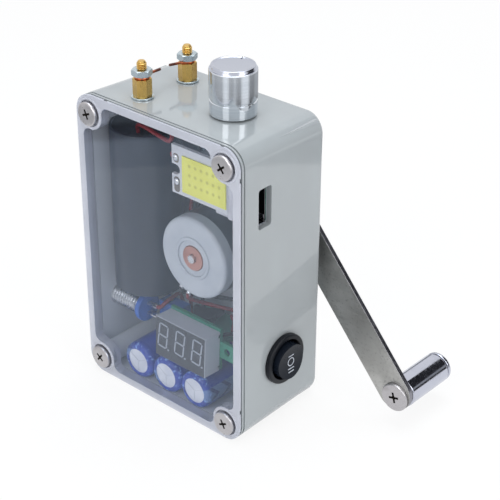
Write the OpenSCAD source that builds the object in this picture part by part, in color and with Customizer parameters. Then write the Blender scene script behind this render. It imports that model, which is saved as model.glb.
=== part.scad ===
// Hand crank generator: a small case with a clear lid, a gear train and motor inside,
// a crank at the back, a lamp, a socket, a meter, two spark posts, a knob, a switch and a button.
// X runs across the case, Y from the clear lid at -Y to the crank at +Y, and Z is up.
// The origin is the middle of the case's underside. All lengths are in millimetres.

/* [Case] */
// Width of the case at the lid
case_w = 66; // [66:0.5:76]
// Height of the case
case_h = 98; // [98:0.5:110]
// Depth of the case with its lid
case_d = 38; // [38:0.5:44]
// Thickness of the side and top walls at the lid
wall_t = 2.4; // [2:0.1:2.8]
// Thickness of the floor
floor_t = 2.3; // [2.2:0.1:2.6]
// Thickness of the back wall
back_t = 2.2; // [1.8:0.1:2.6]
// Radius of the four long corners
corner_r = 6; // [5:0.1:7.5]
// How far each wall leans in by the back
draft = 0.9; // [0.4:0.1:1.2]
// Rounding of the back edges
back_round = 1.8; // [1:0.1:2]

/* [Lid] */
// Depth of the clear lid
lid_d = 3.3; // [3:0.1:4]
// Thickness of the lid's window
window_t = 1.6; // [1.2:0.1:1.8]
// Width of the lid's rim
rim_w = 2.6; // [2.2:0.1:3]
// Thickness of the seal
seal_t = 0.5; // [0.3:0.1:0.8]
// Distance from a lid screw to the side of the case
screw_side = 5.7; // [5.4:0.1:6.2]
// Distance from a lid screw to the top or the underside
screw_end = 5.95; // [5.6:0.05:6.4]
// Radius of a lid screw's head
screw_head_r = 3.85; // [3.4:0.05:4]
// Radius of a lid screw's thread
screw_r = 1.5; // [1.25:0.05:1.6]

/* [Crank] */
// Distance from the crank's axis to the right wall's inside
crank_side = 15.6; // [15.2:0.1:18]
// Distance from the crank's axis to the top
crank_drop = 35; // [34.5:0.1:37]
// Length of the crank from its axis to the handle's axis
crank_len = 70; // [50:0.5:80]
// Angle of the crank at rest, in degrees from level
crank_angle = -49; // [-60:1:-20]
// Width of the crank's arm
arm_w = 12.4; // [11:0.1:15]
// Thickness of the crank's arm
arm_t = 1.5; // [1.2:0.1:2.5]
// Gap between the back wall and the arm
arm_gap = 2.8; // [2.5:0.1:5]
// Radius of the crank's shaft
shaft_r = 2.5; // [2.4:0.05:2.8]
// Radius of the grip
grip_r = 4.9; // [4.4:0.1:7]
// Length of the grip
grip_l = 19.4; // [14:0.1:40]

/* [Gears] */
// Module of the gears
gear_m = 0.5; // [0.48:0.01:0.52]
// Teeth of the crank's gear
crank_teeth = 54; // [52:1:56]
// Teeth of the idler's small gear
idler_small_teeth = 12; // [11:1:13]
// Teeth of the idler's large gear
idler_large_teeth = 42; // [40:1:43]
// Teeth of the motor's pinion
pinion_teeth = 10; // [10:1:11]
// Thickness of the gear plate
plate_t = 1.4; // [1.2:0.1:1.6]

/* [Motor] */
// Radius of the motor
motor_r = 13.25; // [12.5:0.05:13.6]
// Length of the motor
motor_l = 19.1; // [18:0.1:19.5]
// Radius of the motor's shaft
motor_shaft_r = 1.3; // [1:0.05:1.5]

/* [Arc module] */
// Radius of the arc module
arc_r = 11.25; // [10:0.05:11.5]
// Height of the arc module
arc_h = 55.2; // [50:0.2:56]
// Distance from the arc module's top to the top of the case
arc_drop = 11.3; // [11:0.1:14]

/* [Posts] */
// Distance between the two spark posts
post_gap = 19; // [17:0.1:21]
// Distance from the posts to the middle of the case
post_side = 14.3; // [13.5:0.1:15]
// Radius of a post's thread
stud_r = 1.5; // [1.2:0.05:1.6]
// Distance across the flats of a standoff
standoff_w = 5; // [4.5:0.1:5.5]
// Height of a standoff
standoff_h = 5.5; // [4:0.1:8]
// Distance between the two electrode tips
spark_gap = 3.9; // [2:0.1:5]

/* [Knob] */
// Distance from the knob to the middle of the case
knob_side = 13.2; // [12.6:0.1:14]
// Radius of the knob at its base
knob_r = 7.1; // [7:0.1:8]
// Height of the knob
knob_h = 14.8; // [12:0.1:18]

/* [Lamp, socket and switch] */
// Width of the lamp's board
lamp_w = 21.9; // [20:0.1:22.5]
// Height of the lamp's board
lamp_h = 15.4; // [14:0.1:15.8]
// Width of the socket's shell, across the plug's thickness
socket_t = 5.8; // [5.6:0.1:6]
// Height of the socket's shell
socket_w = 13.1; // [12.6:0.1:13.4]
// Radius of the switch's bezel
bezel_r = 8.2; // [8:0.1:9]

/* [Meter, capacitors and button] */
// Width of the meter
meter_w = 21.2; // [20:0.1:22]
// Height of the meter
meter_h = 13.8; // [12:0.1:14.4]
// Radius of a capacitor
cap_r = 6.2; // [5.5:0.05:6.2]
// Length of a capacitor
cap_l = 24; // [16:0.2:28]
// Radius of the push button's thread
button_r = 3.5; // [3:0.1:4]

/* [Hidden] */
$fn = 64;

// Shared allowances
cut = 1;
slice_t = 0.02;
seat_gap = 0.1;
run_gap = 0.05;
hole_gap = 0.1;
free_gap = 0.3;

// Case planes
front_y = -case_d / 2;
seam_y = front_y + lid_d;
housing_y = seam_y + seal_t;
back_y = case_d / 2;
back_in = back_y - back_t;
right_in = case_w / 2 - wall_t;
left_in = -right_in;
top_in = case_h - wall_t;
inner_corner_r = corner_r - wall_t;
seal_in = 2.1;

// Seam: the lid's flange, the gap behind it and the housing's lip with its groove
lid_edge_t = 0.65;
lip_gap = 0.5;
lip_front_y = front_y + lid_edge_t + lip_gap;
lip_t = 1.1;
lip_w = 0.65;
groove_w = 0.6;
groove_d = 0.45;
lid_in = lip_t + free_gap;

// Lid screw places
screw_x = case_w / 2 - screw_side;
screw_places = [for (sx = [-1, 1]) for (z = [screw_end, case_h - screw_end]) [sx * screw_x, z]];

// Height of the drafted top at a depth, and place of the drafted side wall at a depth
function lean_at(y) = draft * (y - housing_y) / (back_y - housing_y);
function top_at(y) = case_h - lean_at(y);
function side_at(y) = case_w / 2 - lean_at(y);

// Lid screws
lid_boss_r = 5.2;
case_boss_r = 3.7;
lid_hole_r = screw_r + hole_gap;
screw_proud = 1.4;
screw_head_t = 1.2;
screw_collar_step = 0.6;
screw_collar_r = screw_head_r - screw_collar_step;
sink_r = screw_head_r + free_gap;
sink_d = 0.8;
screw_sink = 9;
screw_end_y = housing_y + screw_sink;
cross_l = 3.6;
cross_w = 0.75;
cross_d = 0.9;

// Gear train: axes seen from the lid, as [x, z]
crank_at = [right_in - crank_side, case_h - crank_drop];
motor_off = [-6.8, -9.8];
motor_at = crank_at + motor_off;
crank_reach = gear_m * (crank_teeth + idler_small_teeth) / 2;
motor_reach = gear_m * (idler_large_teeth + pinion_teeth) / 2;
axes_gap = norm(motor_off);
axes_dir = -motor_off / axes_gap;
along = (pow(motor_reach, 2) - pow(crank_reach, 2) + pow(axes_gap, 2)) / (2 * axes_gap);
across = sqrt(pow(motor_reach, 2) - pow(along, 2));
idler_at = motor_at + along * axes_dir + across * [-axes_dir[1], axes_dir[0]];
pressure = 20;
tooth_slack = 0.12;
tip_share = 0.8;
root_share = 1.25;
flank_steps = 3;

// Depths along the gear train
motor_set = 6.5;
motor_y = front_y + motor_set;
plate_y = motor_y + motor_l;
plate_back_y = plate_y + plate_t;
gear_gap = 0.6;
large_t = 2;
crank_gear_t = 2.5;
large_y = plate_back_y + gear_gap;
small_y = large_y + large_t;
crank_gear_y = small_y + gear_gap;
crank_gear_end_y = crank_gear_y + crank_gear_t;
wall_boss_t = 1.2;
wall_boss_y = back_in - wall_boss_t;
hub_r = 4.5;
hub_end_y = wall_boss_y - free_gap;
idler_end_y = wall_boss_y - free_gap;
pin_r = 1;
pin_sink = 1;
plate_margin = 3.4;
pillar_r = 2.6;
pillar_off_x = [-21, 11.6];
pillar_off_z = [-19.4, 16.6];
pillar_xs = [for (o = pillar_off_x) crank_at[0] + o];
pillar_zs = [for (o = pillar_off_z) crank_at[1] + o];
plate_screw_r = 1.1;
plate_screw_head_r = 2.1;
plate_screw_head_t = 1.3;
plate_screw_l = 7;
rest_hole_t = 0.2;

// Crank
flange_r = 6;
flange_t = 1.6;
bush_wall = 2;
bush_r = shaft_r + bush_wall;
wall_boss_r = bush_r + bush_wall;
arm_y = back_y + arm_gap;
arm_back_y = arm_y + arm_t;
arm_tip_back = 1.5;
handle_at = crank_at + crank_len * [cos(crank_angle), sin(crank_angle)];
square_share = 1.5;
square_w = square_share * shaft_r;
crank_screw_r = 1.25;
crank_screw_head_r = 4.2;
crank_screw_head_t = 1.8;
crank_screw_l = 9;
handle_screw_head_r = 4.7;
handle_screw_head_t = 1.2;
handle_screw_r = 1.6;
handle_screw_l = 11;
spindle_r = 2.7;
grip_start_y = arm_back_y + free_gap;
grip_end_y = grip_start_y + grip_l;
grip_neck_l = 0.9;
grip_neck_step = 0.7;
grip_neck_r = grip_r - grip_neck_step;
grip_edge = 0.5;
spindle_flange_t = 1.2;
spindle_flange_r = grip_r - seat_gap;
spindle_end_y = grip_end_y + free_gap + spindle_flange_t;

// Motor
end_cap_l = 4;
cap_round = 1.2;
ring_r = 6.8;
ring_h = 0.5;
ring_w = 1;
motor_bush_r = 4.08;
motor_bush_back_r = 3;
shaft_proud = 0.9;
shaft_end_y = motor_y - shaft_proud;
can_t = 0.8;
magnet_t = 2.2;
magnet_gap = 0.5;
core_r = motor_r - can_t - magnet_t - magnet_gap - hole_gap;
core_l = 9;
core_set = 2.2;
core_y = motor_y + end_cap_l + core_set;
lug_w = 1.5;
lug_t = 0.5;
lug_l = 2.6;
lug_angles = [-118, -106];

// Arc module
arc_wall_gap = 0.25;
arc_set = 15;
arc_at = [left_in + arc_wall_gap + arc_r, front_y + arc_set];
arc_top_z = case_h - arc_drop;
arc_rim = 0.9;
arc_sink = 1;
arc_chamfer = 0.6;

// Posts
post_mid_y = 0.2;
post_places = [for (s = [-1, 1]) [-post_side, post_mid_y + s * post_gap / 2]];
washer_r = 3.4;
washer_t = 0.6;
wire_r = 0.42;
core_share = 0.8;
stud_core_r = core_share * stud_r;
nut_w = 5.5;
nut_t = 1.9;
stud_above = 2.6;
stud_head_r = 2.8;
stud_head_t = 2;
stud_tip = 0.5;
loop_r = stud_r + wire_r + run_gap;
tail_l = (post_gap - spark_gap) / 2;
tail_rises = [0, 5];

// Knob and dimmer
knob_at = [knob_side, post_mid_y];
knob_lift = 0.4;
knob_z = top_at(knob_at[1] - knob_r) + knob_lift;
knob_band_h = 4.3;
knob_step = 0.12;
knob_flare = 0.05;
knob_ring_h = 1.1;
knob_bevel = 0.6;
knob_bore_l = 11.5;
knob_well_r = 6.1;
knob_well_d = 3.3;
notch_w = 0.5;
notch_l = 1.8;
notch_d = 0.5;
notch_angle = 106;
dimmer_r = 8;
dimmer_h = 8;
neck_r = 3.5;
neck_up = 2.7;
dimmer_shaft_r = 3;
dimmer_shaft_sink = 5;
dimmer_nut_w = 10;
dimmer_nut_t = 1.9;

// Lamp
lamp_y = housing_y + seat_gap;
lamp_t = 1.2;
lamp_off = [-27.6, -23.1];
lamp_at = [right_in, case_h] + lamp_off;
phosphor_t = 0.4;
phosphor_off = [4.3, 1.4];
phosphor_w = 17.2;
phosphor_h = 11.6;
lamp_notch_r = 1.6;
lamp_corner = 2.8;
tape_h = 13;
tape_off = -1.4;

// Socket
socket_off = [11, -20.8];
socket_at = [front_y, case_h] + socket_off;
socket_wall = 0.35;
socket_l = 14;
socket_set = 0.2;
socket_end_x = right_in - socket_set;
tongue_t = 1.9;
tongue_w = 11.2;
tongue_back = 2;
slot_t = 5.7;
slot_w = 12.7;
slot_round = 0.9;
board_t = 1.6;
socket_board_w = 17;
socket_board_l = 20;

// Switch
switch_set = 18.1;
switch_up = 22.2;
switch_at = [back_y - switch_set, switch_up];
switch_wall_x = side_at(switch_at[0] - bezel_r);
bezel_t = 1.7;
bezel_edge = 0.5;
bezel_w = 1.6;
well_r = bezel_r - bezel_w;
bezel_lap = 0.9;
switch_body_r = bezel_r - bezel_lap;
switch_body_l = 11.5;
rocker_gap = 0.85;
rocker_r = well_r - rocker_gap;
rocker_proud = 2.1;
rocker_dip = 0.55;
pivot_back = 1.2;
rocker_back = 1.6;
well_back = 4.6;
pivot_r = 0.9;
pivot_l = switch_body_r - free_gap;
blade_t = 0.8;
blade_w = 3.6;
blade_l = 6;
blade_step = 4.4;

// Capacitors
cap_z = floor_t + seat_gap + cap_r;
cap_y = housing_y;
cap_step = 2 * cap_r + run_gap;
cap_mid_x = -1.15;
sleeve_t = 0.25;
cap_round_r = 0.8;
cap_face_r = 4.25;
vent_w = 0.35;
vent_d = 0.2;

// Meter
meter_mid_x = 6;
meter_gap = 0.4;
meter_y = front_y + window_t + meter_gap;
meter_lean = 2.6;
meter_d = 6.8;
meter_shell = 0.6;
meter_face_t = 0.5;
meter_pad = 0.7;
meter_z = cap_z + cap_r + seat_gap + meter_pad + meter_d * sin(meter_lean);
meter_board_t = 1.2;
meter_board_up = 0.8;
meter_board_low = 0.3;
ear_l = 5.8;
ear_h = 5.6;
ear_z = 4.8;
ear_hole_r = 1.2;
digit_w = 4.1;
digit_h = 8.6;
digit_step = 7.2;
digit_up = 1;
digit_t = 0.15;
segment_w = 0.5;
segment_gap = 0.12;
digit_slant = 6;
point_r = 0.35;
point_gap = 0.35;

// Push button
button_set = 11.5;
button_up = 23.6;
button_at = [front_y + button_set, button_up];
button_nut_w = 10;
button_nut_t = 1.8;
button_out = 2.6;
button_barrel_l = 12;
button_cap_r = 2.3;
button_cap_out = 2.6;
button_stroke = 1.5;
button_body_r = 4.8;
button_body_l = 1.8;
button_bore_l = 8;
button_lug_w = 1.8;
button_lug_t = 0.5;
button_lug_l = 4.2;
button_lug_step = 3.4;

// Converter behind the meter
conv_x = -14.5;
conv_w = 22;
conv_y = -6.2;
conv_d = 21;
conv_z = cap_z + cap_r + seat_gap;
coil_r = 3.6;
coil_h = 5;
chip = [4.6, 4, 1.6];
chip_shares = [[0.29, 0.77], [0.06, 0.62]];
trimmer_size = [9.5, 4.8, 10];
trimmer_off = [0.1, 1];

// Lead routes, chosen by hand: each runs from its first to its last point
lead_r = 0.65;
lead_sides = 8;
lead_side = [0.36, 0.48, 0.8];
arc_lead_routes = [
  [[-17, -9, 85.5], [-17, -9.5, 88.6], [-12, -11.6, 90.2], [-3, -12.2, 88.9], [-0.6, -12.2, 88.7],
   [0.4, -11.8, 90.5], [-2, -10.8, 92.4], [-9, -10, 92.2], [-13.8, -9.4, 91.6], [-14.3, -9.3, 93.9]],
  [[-17, 1, 85.5], [-17, 1, 89.5], [-15.5, 5, 91], [-14.3, 9.7, 91], [-14.3, 9.7, 93.9]]
];
red_routes = [
  [[3.2, -14.5, 86], [1.2, -13.4, 86.2], [0.2, -10.5, 85], [-0.6, -6, 77], [-5.6, 2.6, 68],
   [-8, 2.9, 54], [-8.4, 3.2, 36], [-9.6, 4.5, 24], [-9.6, 4.5, 16.4]],
  [[3.9, -10.25, 38.2], [3.4, -10, 36.2], [4.4, -5, 33], [11, -1, 31.6], [15, 2.4, 30.6],
   [9, 8, 27], [4.6, 13, 21], [4.6, 13, 16.4]],
  [[15.6, 0.9, 26.6], [12.6, 0.9, 26.8], [9.5, 3, 27], [7.6, 6.8, 22], [6.4, 7, 18.4], [6.4, 7, 16.4]],
  [[-12.9, -7.5, 25.3], [-11.4, -7.5, 25.6], [-10.4, -6.4, 27.4], [-10.4, -2, 28.2],
   [-10.4, 0.6, 28.2], [-10.4, 1.6, 24], [-10.4, 1.6, 16.4]]
];
black_routes = [
  [[3.2, -14.5, 78.8], [1.4, -13.4, 78.6], [0.4, -9, 76.5], [-3.9, 4.2, 67.5], [-6.8, 4.3, 54],
   [-7, 4.6, 36], [-7, 7.4, 24], [-7, 7.4, 16.4]],
  [[0.9, -10.25, 39.4], [0.3, -9.8, 37.2], [2.6, -4, 34.6], [10, 1, 34], [15, 5.4, 32.4],
   [11, 11, 27], [6.6, 11, 20], [6.6, 11, 16.4]],
  [[15.6, 0.9, 22.2], [12.6, 0.9, 22.2], [9, 0, 20.6], [6, -2.6, 19.6], [5.4, -3.4, 18.4],
   [5.4, -3.4, 16.4]],
  [[-12.9, -7.5, 21.9], [-10.4, -7.6, 21.9], [-6, -7, 21.4], [-3.4, -5.6, 20], [-3.2, -3.4, 18.6],
   [-3.2, -3.2, 16.4]]
];

// Shape helpers

module slab(y0, y1) {
  translate([0, y1, 0]) rotate([90, 0, 0]) linear_extrude(y1 - y0) children();
}

module rod_y(at, y0, y1, r) {
  translate([at[0], y0, at[1]]) rotate([-90, 0, 0]) cylinder(h = y1 - y0, r = r);
}

module rod_x(at, x0, x1, r) {
  translate([x0, at[0], at[1]]) rotate([0, 90, 0]) cylinder(h = x1 - x0, r = r);
}

module rod_z(at, z0, z1, r) {
  translate([at[0], at[1], z0]) cylinder(h = z1 - z0, r = r);
}

module turned_y(at, y0) {
  translate([at[0], y0, at[1]]) rotate([-90, 0, 0]) rotate_extrude() children();
}

module block(low, size) {
  translate(low) cube(size);
}

module round_rect(w, h, r) {
  translate([-w / 2 + r, -h / 2]) square([w - 2 * r, h]);
  translate([-w / 2, -h / 2 + r]) square([w, h - 2 * r]);
  for (sx = [-1, 1], sy = [-1, 1]) translate([sx * (w / 2 - r), sy * (h / 2 - r)]) circle(r);
}

module hex(w) {
  circle(d = w / cos(30), $fn = 6);
}

module cross_cut(at, y, depth) {
  for (turn = [0, 90])
    translate([at[0], y, at[1]]) rotate([0, turn, 0])
      translate([-cross_l / 2, -cut, -cross_w / 2]) cube([cross_l, depth + cut, cross_w]);
}

// Involute gear outline with one tooth centred on angle 0
function inv_deg(a) = (tan(a) - a * PI / 180) * 180 / PI;
function half_tooth(z, r) =
  let (pitch_r = gear_m * z / 2, base_r = pitch_r * cos(pressure), at_r = max(r, base_r))
  90 / z - tooth_slack / (2 * pitch_r) * 180 / PI + inv_deg(pressure) - inv_deg(acos(base_r / at_r));
function gear_points(z) =
  let (
    pitch_r = gear_m * z / 2,
    tip_r = pitch_r + tip_share * gear_m,
    root_r = pitch_r - root_share * gear_m,
    flank_r = max(pitch_r * cos(pressure), root_r),
    radii = concat([root_r], [for (k = [0:flank_steps]) flank_r + (tip_r - flank_r) * k / flank_steps])
  )
  [for (i = [0:z - 1]) each concat(
    [for (k = [0:len(radii) - 1]) let (a = 360 * i / z - half_tooth(z, radii[k]))
      radii[k] * [cos(a), sin(a)]],
    [for (k = [len(radii) - 1:-1:0]) let (a = 360 * i / z + half_tooth(z, radii[k]))
      radii[k] * [cos(a), sin(a)]]
  )];

module gear(at, y0, y1, teeth, turn) {
  slab(y0, y1) translate(at) rotate(turn) polygon(gear_points(teeth));
}

// Angle of the line from one axis to another, seen from the lid
function heading(a, b) = atan2(b[1] - a[1], b[0] - a[0]);

// A lead: a tube swept along its route after the route's corners are rounded twice
function rounded(p) = concat([p[0]],
  [for (i = [0:len(p) - 2]) each [
    i == 0 ? (p[0] + p[1]) / 2 : p[i] + (p[i + 1] - p[i]) / 4,
    i == len(p) - 2 ? (p[i] + p[i + 1]) / 2 : p[i] + (p[i + 1] - p[i]) * 3 / 4
  ]], [p[len(p) - 1]]);
function unit(v) = v / norm(v);
function heading_at(p, i) = unit(p[min(i + 1, len(p) - 1)] - p[max(i - 1, 0)]);
function side_of(t, u) = unit(u - t * (t * u));
function sides_along(p, i = 0, u = lead_side) =
  i == len(p) ? [] : let (s = side_of(heading_at(p, i), u)) concat([s], sides_along(p, i + 1, s));

module lead(route, r) {
  p = rounded(rounded(route));
  s = sides_along(p);
  n = len(p);
  rings = [for (i = [0:n - 1]) for (k = [0:lead_sides - 1])
    let (a = 360 * k / lead_sides) p[i] + r * (s[i] * cos(a) + cross(heading_at(p, i), s[i]) * sin(a))];
  skin = [for (i = [0:n - 2]) for (k = [0:lead_sides - 1])
    let (a = i * lead_sides + k, b = i * lead_sides + (k + 1) % lead_sides)
    each [[a, b, b + lead_sides], [a, b + lead_sides, a + lead_sides]]];
  first = [for (k = [1:lead_sides - 2]) [0, k + 1, k]];
  last_0 = (n - 1) * lead_sides;
  last = [for (k = [1:lead_sides - 2]) [last_0, last_0 + k, last_0 + k + 1]];
  polyhedron(rings, [for (f = concat(skin, first, last)) [f[0], f[2], f[1]]]);
}

// Case

module case_slice(y, inset, low) {
  h = case_h - inset - low;
  translate([0, 0, low + h / 2])
    slab(y, y + slice_t) round_rect(case_w - 2 * inset, h, corner_r - inset / 2, $fn = 48);
}

module case_outside() {
  hull() {
    case_slice(housing_y, 0, 0);
    for (a = [0:30:90])
      case_slice(back_y - back_round * (1 - sin(a)) - slice_t, draft + back_round * (1 - cos(a)),
        back_round * (1 - cos(a)));
  }
}

module case_cavity() {
  slab(housing_y - cut, back_in) translate([0, (floor_t + top_in) / 2])
    round_rect(2 * right_in, top_in - floor_t, inner_corner_r);
}

module lip() {
  slab(lip_front_y, housing_y + slice_t) translate([0, case_h / 2]) difference() {
    round_rect(case_w, case_h, corner_r, $fn = 48);
    round_rect(case_w - 2 * lip_t, case_h - 2 * lip_t, corner_r - lip_t);
  }
}

module lip_groove() {
  slab(lip_front_y + lip_w, lip_front_y + lip_w + groove_w) translate([0, case_h / 2]) difference() {
    square([case_w + 2 * cut, case_h + 2 * cut], center = true);
    round_rect(case_w - 2 * groove_d, case_h - 2 * groove_d, corner_r - groove_d);
  }
}

module corner_bosses() {
  for (at = screw_places) {
    rod_y(at, housing_y, back_in + slice_t, case_boss_r);
    out_x = at[0] > 0 ? at[0] : at[0] - case_boss_r;
    out_z = at[1] > case_h / 2 ? at[1] : at[1] - case_boss_r;
    block([out_x, housing_y, out_z], [case_boss_r, back_in + slice_t - housing_y, case_boss_r]);
  }
}

module housing() {
  color("#b3bbbd") difference() {
    union() {
      difference() {
        case_outside();
        case_cavity();
      }
      difference() {
        lip();
        lip_groove();
      }
      corner_bosses();
      for (x = pillar_xs, z = pillar_zs) rod_y([x, z], plate_back_y, back_in + slice_t, pillar_r);
      rod_y(crank_at, wall_boss_y, back_in + slice_t, wall_boss_r);
      rod_y(idler_at, wall_boss_y, back_in + slice_t, pillar_r);
    }
    for (at = screw_places) rod_y(at, housing_y - cut, screw_end_y + free_gap, screw_r + run_gap);
    for (x = pillar_xs, z = pillar_zs)
      rod_y([x, z], plate_back_y - cut, plate_y + plate_screw_l + free_gap, plate_screw_r + run_gap);
    rod_y(crank_at, wall_boss_y - cut, back_y + cut, bush_r + run_gap);
    rod_y(idler_at, wall_boss_y - cut, back_in + pin_sink, pin_r + run_gap);
    for (at = post_places) rod_z(at, top_in - cut, case_h + cut, stud_r + hole_gap);
    rod_z(knob_at, top_in - cut, case_h + cut, neck_r + hole_gap);
    translate([right_in - cut, socket_at[0], socket_at[1]]) rotate([0, 90, 0])
      linear_extrude(wall_t + 2 * cut) round_rect(slot_w, slot_t, slot_round);
    rod_x(switch_at, right_in - cut, case_w / 2 + cut, switch_body_r + hole_gap);
    rod_x(button_at, -case_w / 2 - cut, left_in + cut, button_r + hole_gap);
  }
}

module seal() {
  color("#3a3d3e") slab(seam_y, housing_y) translate([0, case_h / 2]) difference() {
    round_rect(case_w - 2 * lid_in, case_h - 2 * lid_in, corner_r - lid_in);
    round_rect(case_w - 2 * seal_in, case_h - 2 * seal_in, corner_r - seal_in);
  }
}

module lid() {
  color("#dfe3f2", 0.35) difference() {
    union() {
      slab(front_y, front_y + lid_edge_t) translate([0, case_h / 2]) round_rect(case_w, case_h, corner_r);
      slab(front_y, seam_y) translate([0, case_h / 2])
        round_rect(case_w - 2 * lid_in, case_h - 2 * lid_in, corner_r - lid_in);
    }
    slab(front_y + window_t, seam_y + cut) difference() {
      translate([0, case_h / 2])
        round_rect(case_w - 2 * rim_w, case_h - 2 * rim_w, corner_r - rim_w);
      for (at = screw_places) translate(at) circle(lid_boss_r);
    }
    for (at = screw_places) {
      rod_y(at, front_y - cut, seam_y + cut, lid_hole_r);
      rod_y(at, front_y - cut, front_y + sink_d, sink_r);
    }
  }
}

module lid_screws() {
  color("#c9c6c1") for (at = screw_places) difference() {
    union() {
      rod_y(at, front_y - screw_proud, front_y - screw_proud + screw_head_t, screw_head_r);
      rod_y(at, front_y - screw_proud + screw_head_t - slice_t, front_y + sink_d, screw_collar_r);
      rod_y(at, front_y + sink_d - slice_t, screw_end_y, screw_r);
    }
    cross_cut(at, front_y - screw_proud, cross_d);
  }
}

// Spark posts, each standing on the drafted top. Below its free end a stud has its thread's core radius

function post_z(i) = top_at(post_places[i][1] - washer_r);
loop_z0 = washer_t + standoff_h;
nut_z0 = loop_z0 + 2 * wire_r + run_gap;
stud_z1 = nut_z0 + nut_t + stud_above;

module at_posts() {
  for (i = [0:1]) translate([post_places[i][0], post_places[i][1], post_z(i)]) children();
}

module post_washers() {
  color("#b9bdc0") at_posts() difference() {
    cylinder(h = washer_t, r = washer_r);
    translate([0, 0, -cut]) cylinder(h = washer_t + 2 * cut, r = stud_r + hole_gap);
  }
}

module post_standoffs() {
  color("#b08a3a") at_posts() translate([0, 0, washer_t]) difference() {
    linear_extrude(standoff_h) rotate(12) hex(standoff_w);
    translate([0, 0, -cut]) cylinder(h = standoff_h + 2 * cut, r = stud_core_r + run_gap);
  }
}

module post_studs() {
  color("#b58f45") for (i = [0:1]) {
    top_z = post_z(i) + stud_z1;
    rod_z(post_places[i], top_in - slice_t, post_z(i) + nut_z0 + nut_t, stud_core_r);
    rod_z(post_places[i], post_z(i) + nut_z0 + nut_t, top_z - stud_tip, stud_r);
    translate([post_places[i][0], post_places[i][1], top_z - stud_tip])
      cylinder(h = stud_tip, r1 = stud_r, r2 = stud_r - stud_tip);
    rod_z(post_places[i], top_in - stud_head_t, top_in, stud_head_r);
  }
}

module post_nuts() {
  color("#aeb6ba") at_posts() translate([0, 0, nut_z0]) difference() {
    linear_extrude(nut_t) rotate(22) hex(nut_w);
    translate([0, 0, -cut]) cylinder(h = nut_t + 2 * cut, r = stud_core_r + run_gap);
  }
}

module spark_electrodes() {
  color("#8a4a35") for (i = [0:1])
    translate([post_places[i][0], post_places[i][1], post_z(i) + loop_z0 + wire_r + slice_t]) {
      rotate_extrude() translate([loop_r, 0]) circle(wire_r, $fn = 24);
      toward = i == 0 ? -90 : 90;
      translate([0, -loop_r * sign(toward), 0]) rotate([toward + sign(toward) * tail_rises[i], 0, 0])
        cylinder(h = tail_l - loop_r, r = wire_r, $fn = 24);
    }
}

// Knob and dimmer

module knob() {
  top_r = knob_r - knob_bevel;
  body_h = knob_h - knob_ring_h;
  color("#c6c9cb") translate([knob_at[0], knob_at[1], knob_z]) difference() {
    rotate_extrude() polygon([
      [0, 0], [knob_r - knob_step, 0], [knob_r - knob_step, knob_band_h], [knob_r, knob_band_h],
      [knob_r + knob_flare, body_h], [top_r + knob_step, body_h + knob_step],
      [top_r + knob_step, knob_h - knob_bevel / 2], [top_r - knob_step, knob_h], [0, knob_h]
    ]);
    translate([0, 0, -cut]) cylinder(h = cut + knob_well_d, r = knob_well_r);
    translate([0, 0, -cut]) cylinder(h = cut + knob_bore_l, r = dimmer_shaft_r + run_gap);
    rotate(notch_angle) translate([top_r - notch_l, -notch_w / 2, knob_h - notch_d])
      cube([notch_l + cut, notch_w, notch_d + cut]);
  }
}

module dimmer_shaft() {
  color("#a9adb0") rod_z(knob_at, top_in - dimmer_shaft_sink, knob_z + knob_bore_l - free_gap,
    dimmer_shaft_r);
}

module dimmer_body() {
  color("#7d8285") difference() {
    union() {
      rod_z(knob_at, top_in - dimmer_h, top_in, dimmer_r);
      rod_z(knob_at, top_in - slice_t, case_h + neck_up, neck_r);
    }
    rod_z(knob_at, top_in - dimmer_shaft_sink - free_gap, case_h + neck_up + cut,
      dimmer_shaft_r + run_gap);
  }
}

module dimmer_nut() {
  color("#b7babd") translate([knob_at[0], knob_at[1], case_h]) difference() {
    linear_extrude(dimmer_nut_t) hex(dimmer_nut_w);
    translate([0, 0, -cut]) cylinder(h = dimmer_nut_t + 2 * cut, r = neck_r + run_gap);
  }
}

// Arc module: a potted tube with sunk ends

module arc_module() {
  low_z = arc_top_z - arc_h;
  inside_r = arc_r - arc_rim;
  color("#3c4048") translate([arc_at[0], arc_at[1], low_z]) rotate_extrude() polygon([
    [0, arc_sink], [inside_r, arc_sink], [inside_r, 0], [arc_r - arc_chamfer, 0], [arc_r, arc_chamfer],
    [arc_r, arc_h - arc_chamfer], [arc_r - arc_chamfer, arc_h], [inside_r, arc_h],
    [inside_r, arc_h - arc_sink], [0, arc_h - arc_sink]
  ]);
}

module arc_leads() {
  color("#a3222c") for (route = arc_lead_routes) lead(route, lead_r);
}

// Lamp, held at its right end by tape on the right wall

module lamp_board() {
  color("#e8e9e6") slab(lamp_y, lamp_y + lamp_t) translate(lamp_at) difference() {
    polygon([[0, 0], [lamp_w, 0], [lamp_w, lamp_h - lamp_corner], [lamp_w - lamp_corner, lamp_h],
      [0, lamp_h]]);
    translate([lamp_notch_r, lamp_h / 2]) circle(lamp_notch_r);
    translate([-cut, lamp_h / 2 - lamp_notch_r]) square([cut + lamp_notch_r, 2 * lamp_notch_r]);
  }
}

module lamp_phosphor() {
  cut_w = lamp_corner / 2;
  color("#d5da5e") slab(lamp_y - phosphor_t, lamp_y) translate(lamp_at + phosphor_off)
    polygon([[0, 0], [phosphor_w, 0], [phosphor_w, phosphor_h - cut_w],
      [phosphor_w - cut_w, phosphor_h], [0, phosphor_h]]);
}

module lamp_tape() {
  x0 = lamp_at[0] + lamp_w;
  color("#b9b3a6") block([x0, lamp_y, lamp_at[1] + tape_off], [right_in - x0, lamp_t, tape_h]);
}

// Motor

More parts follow.
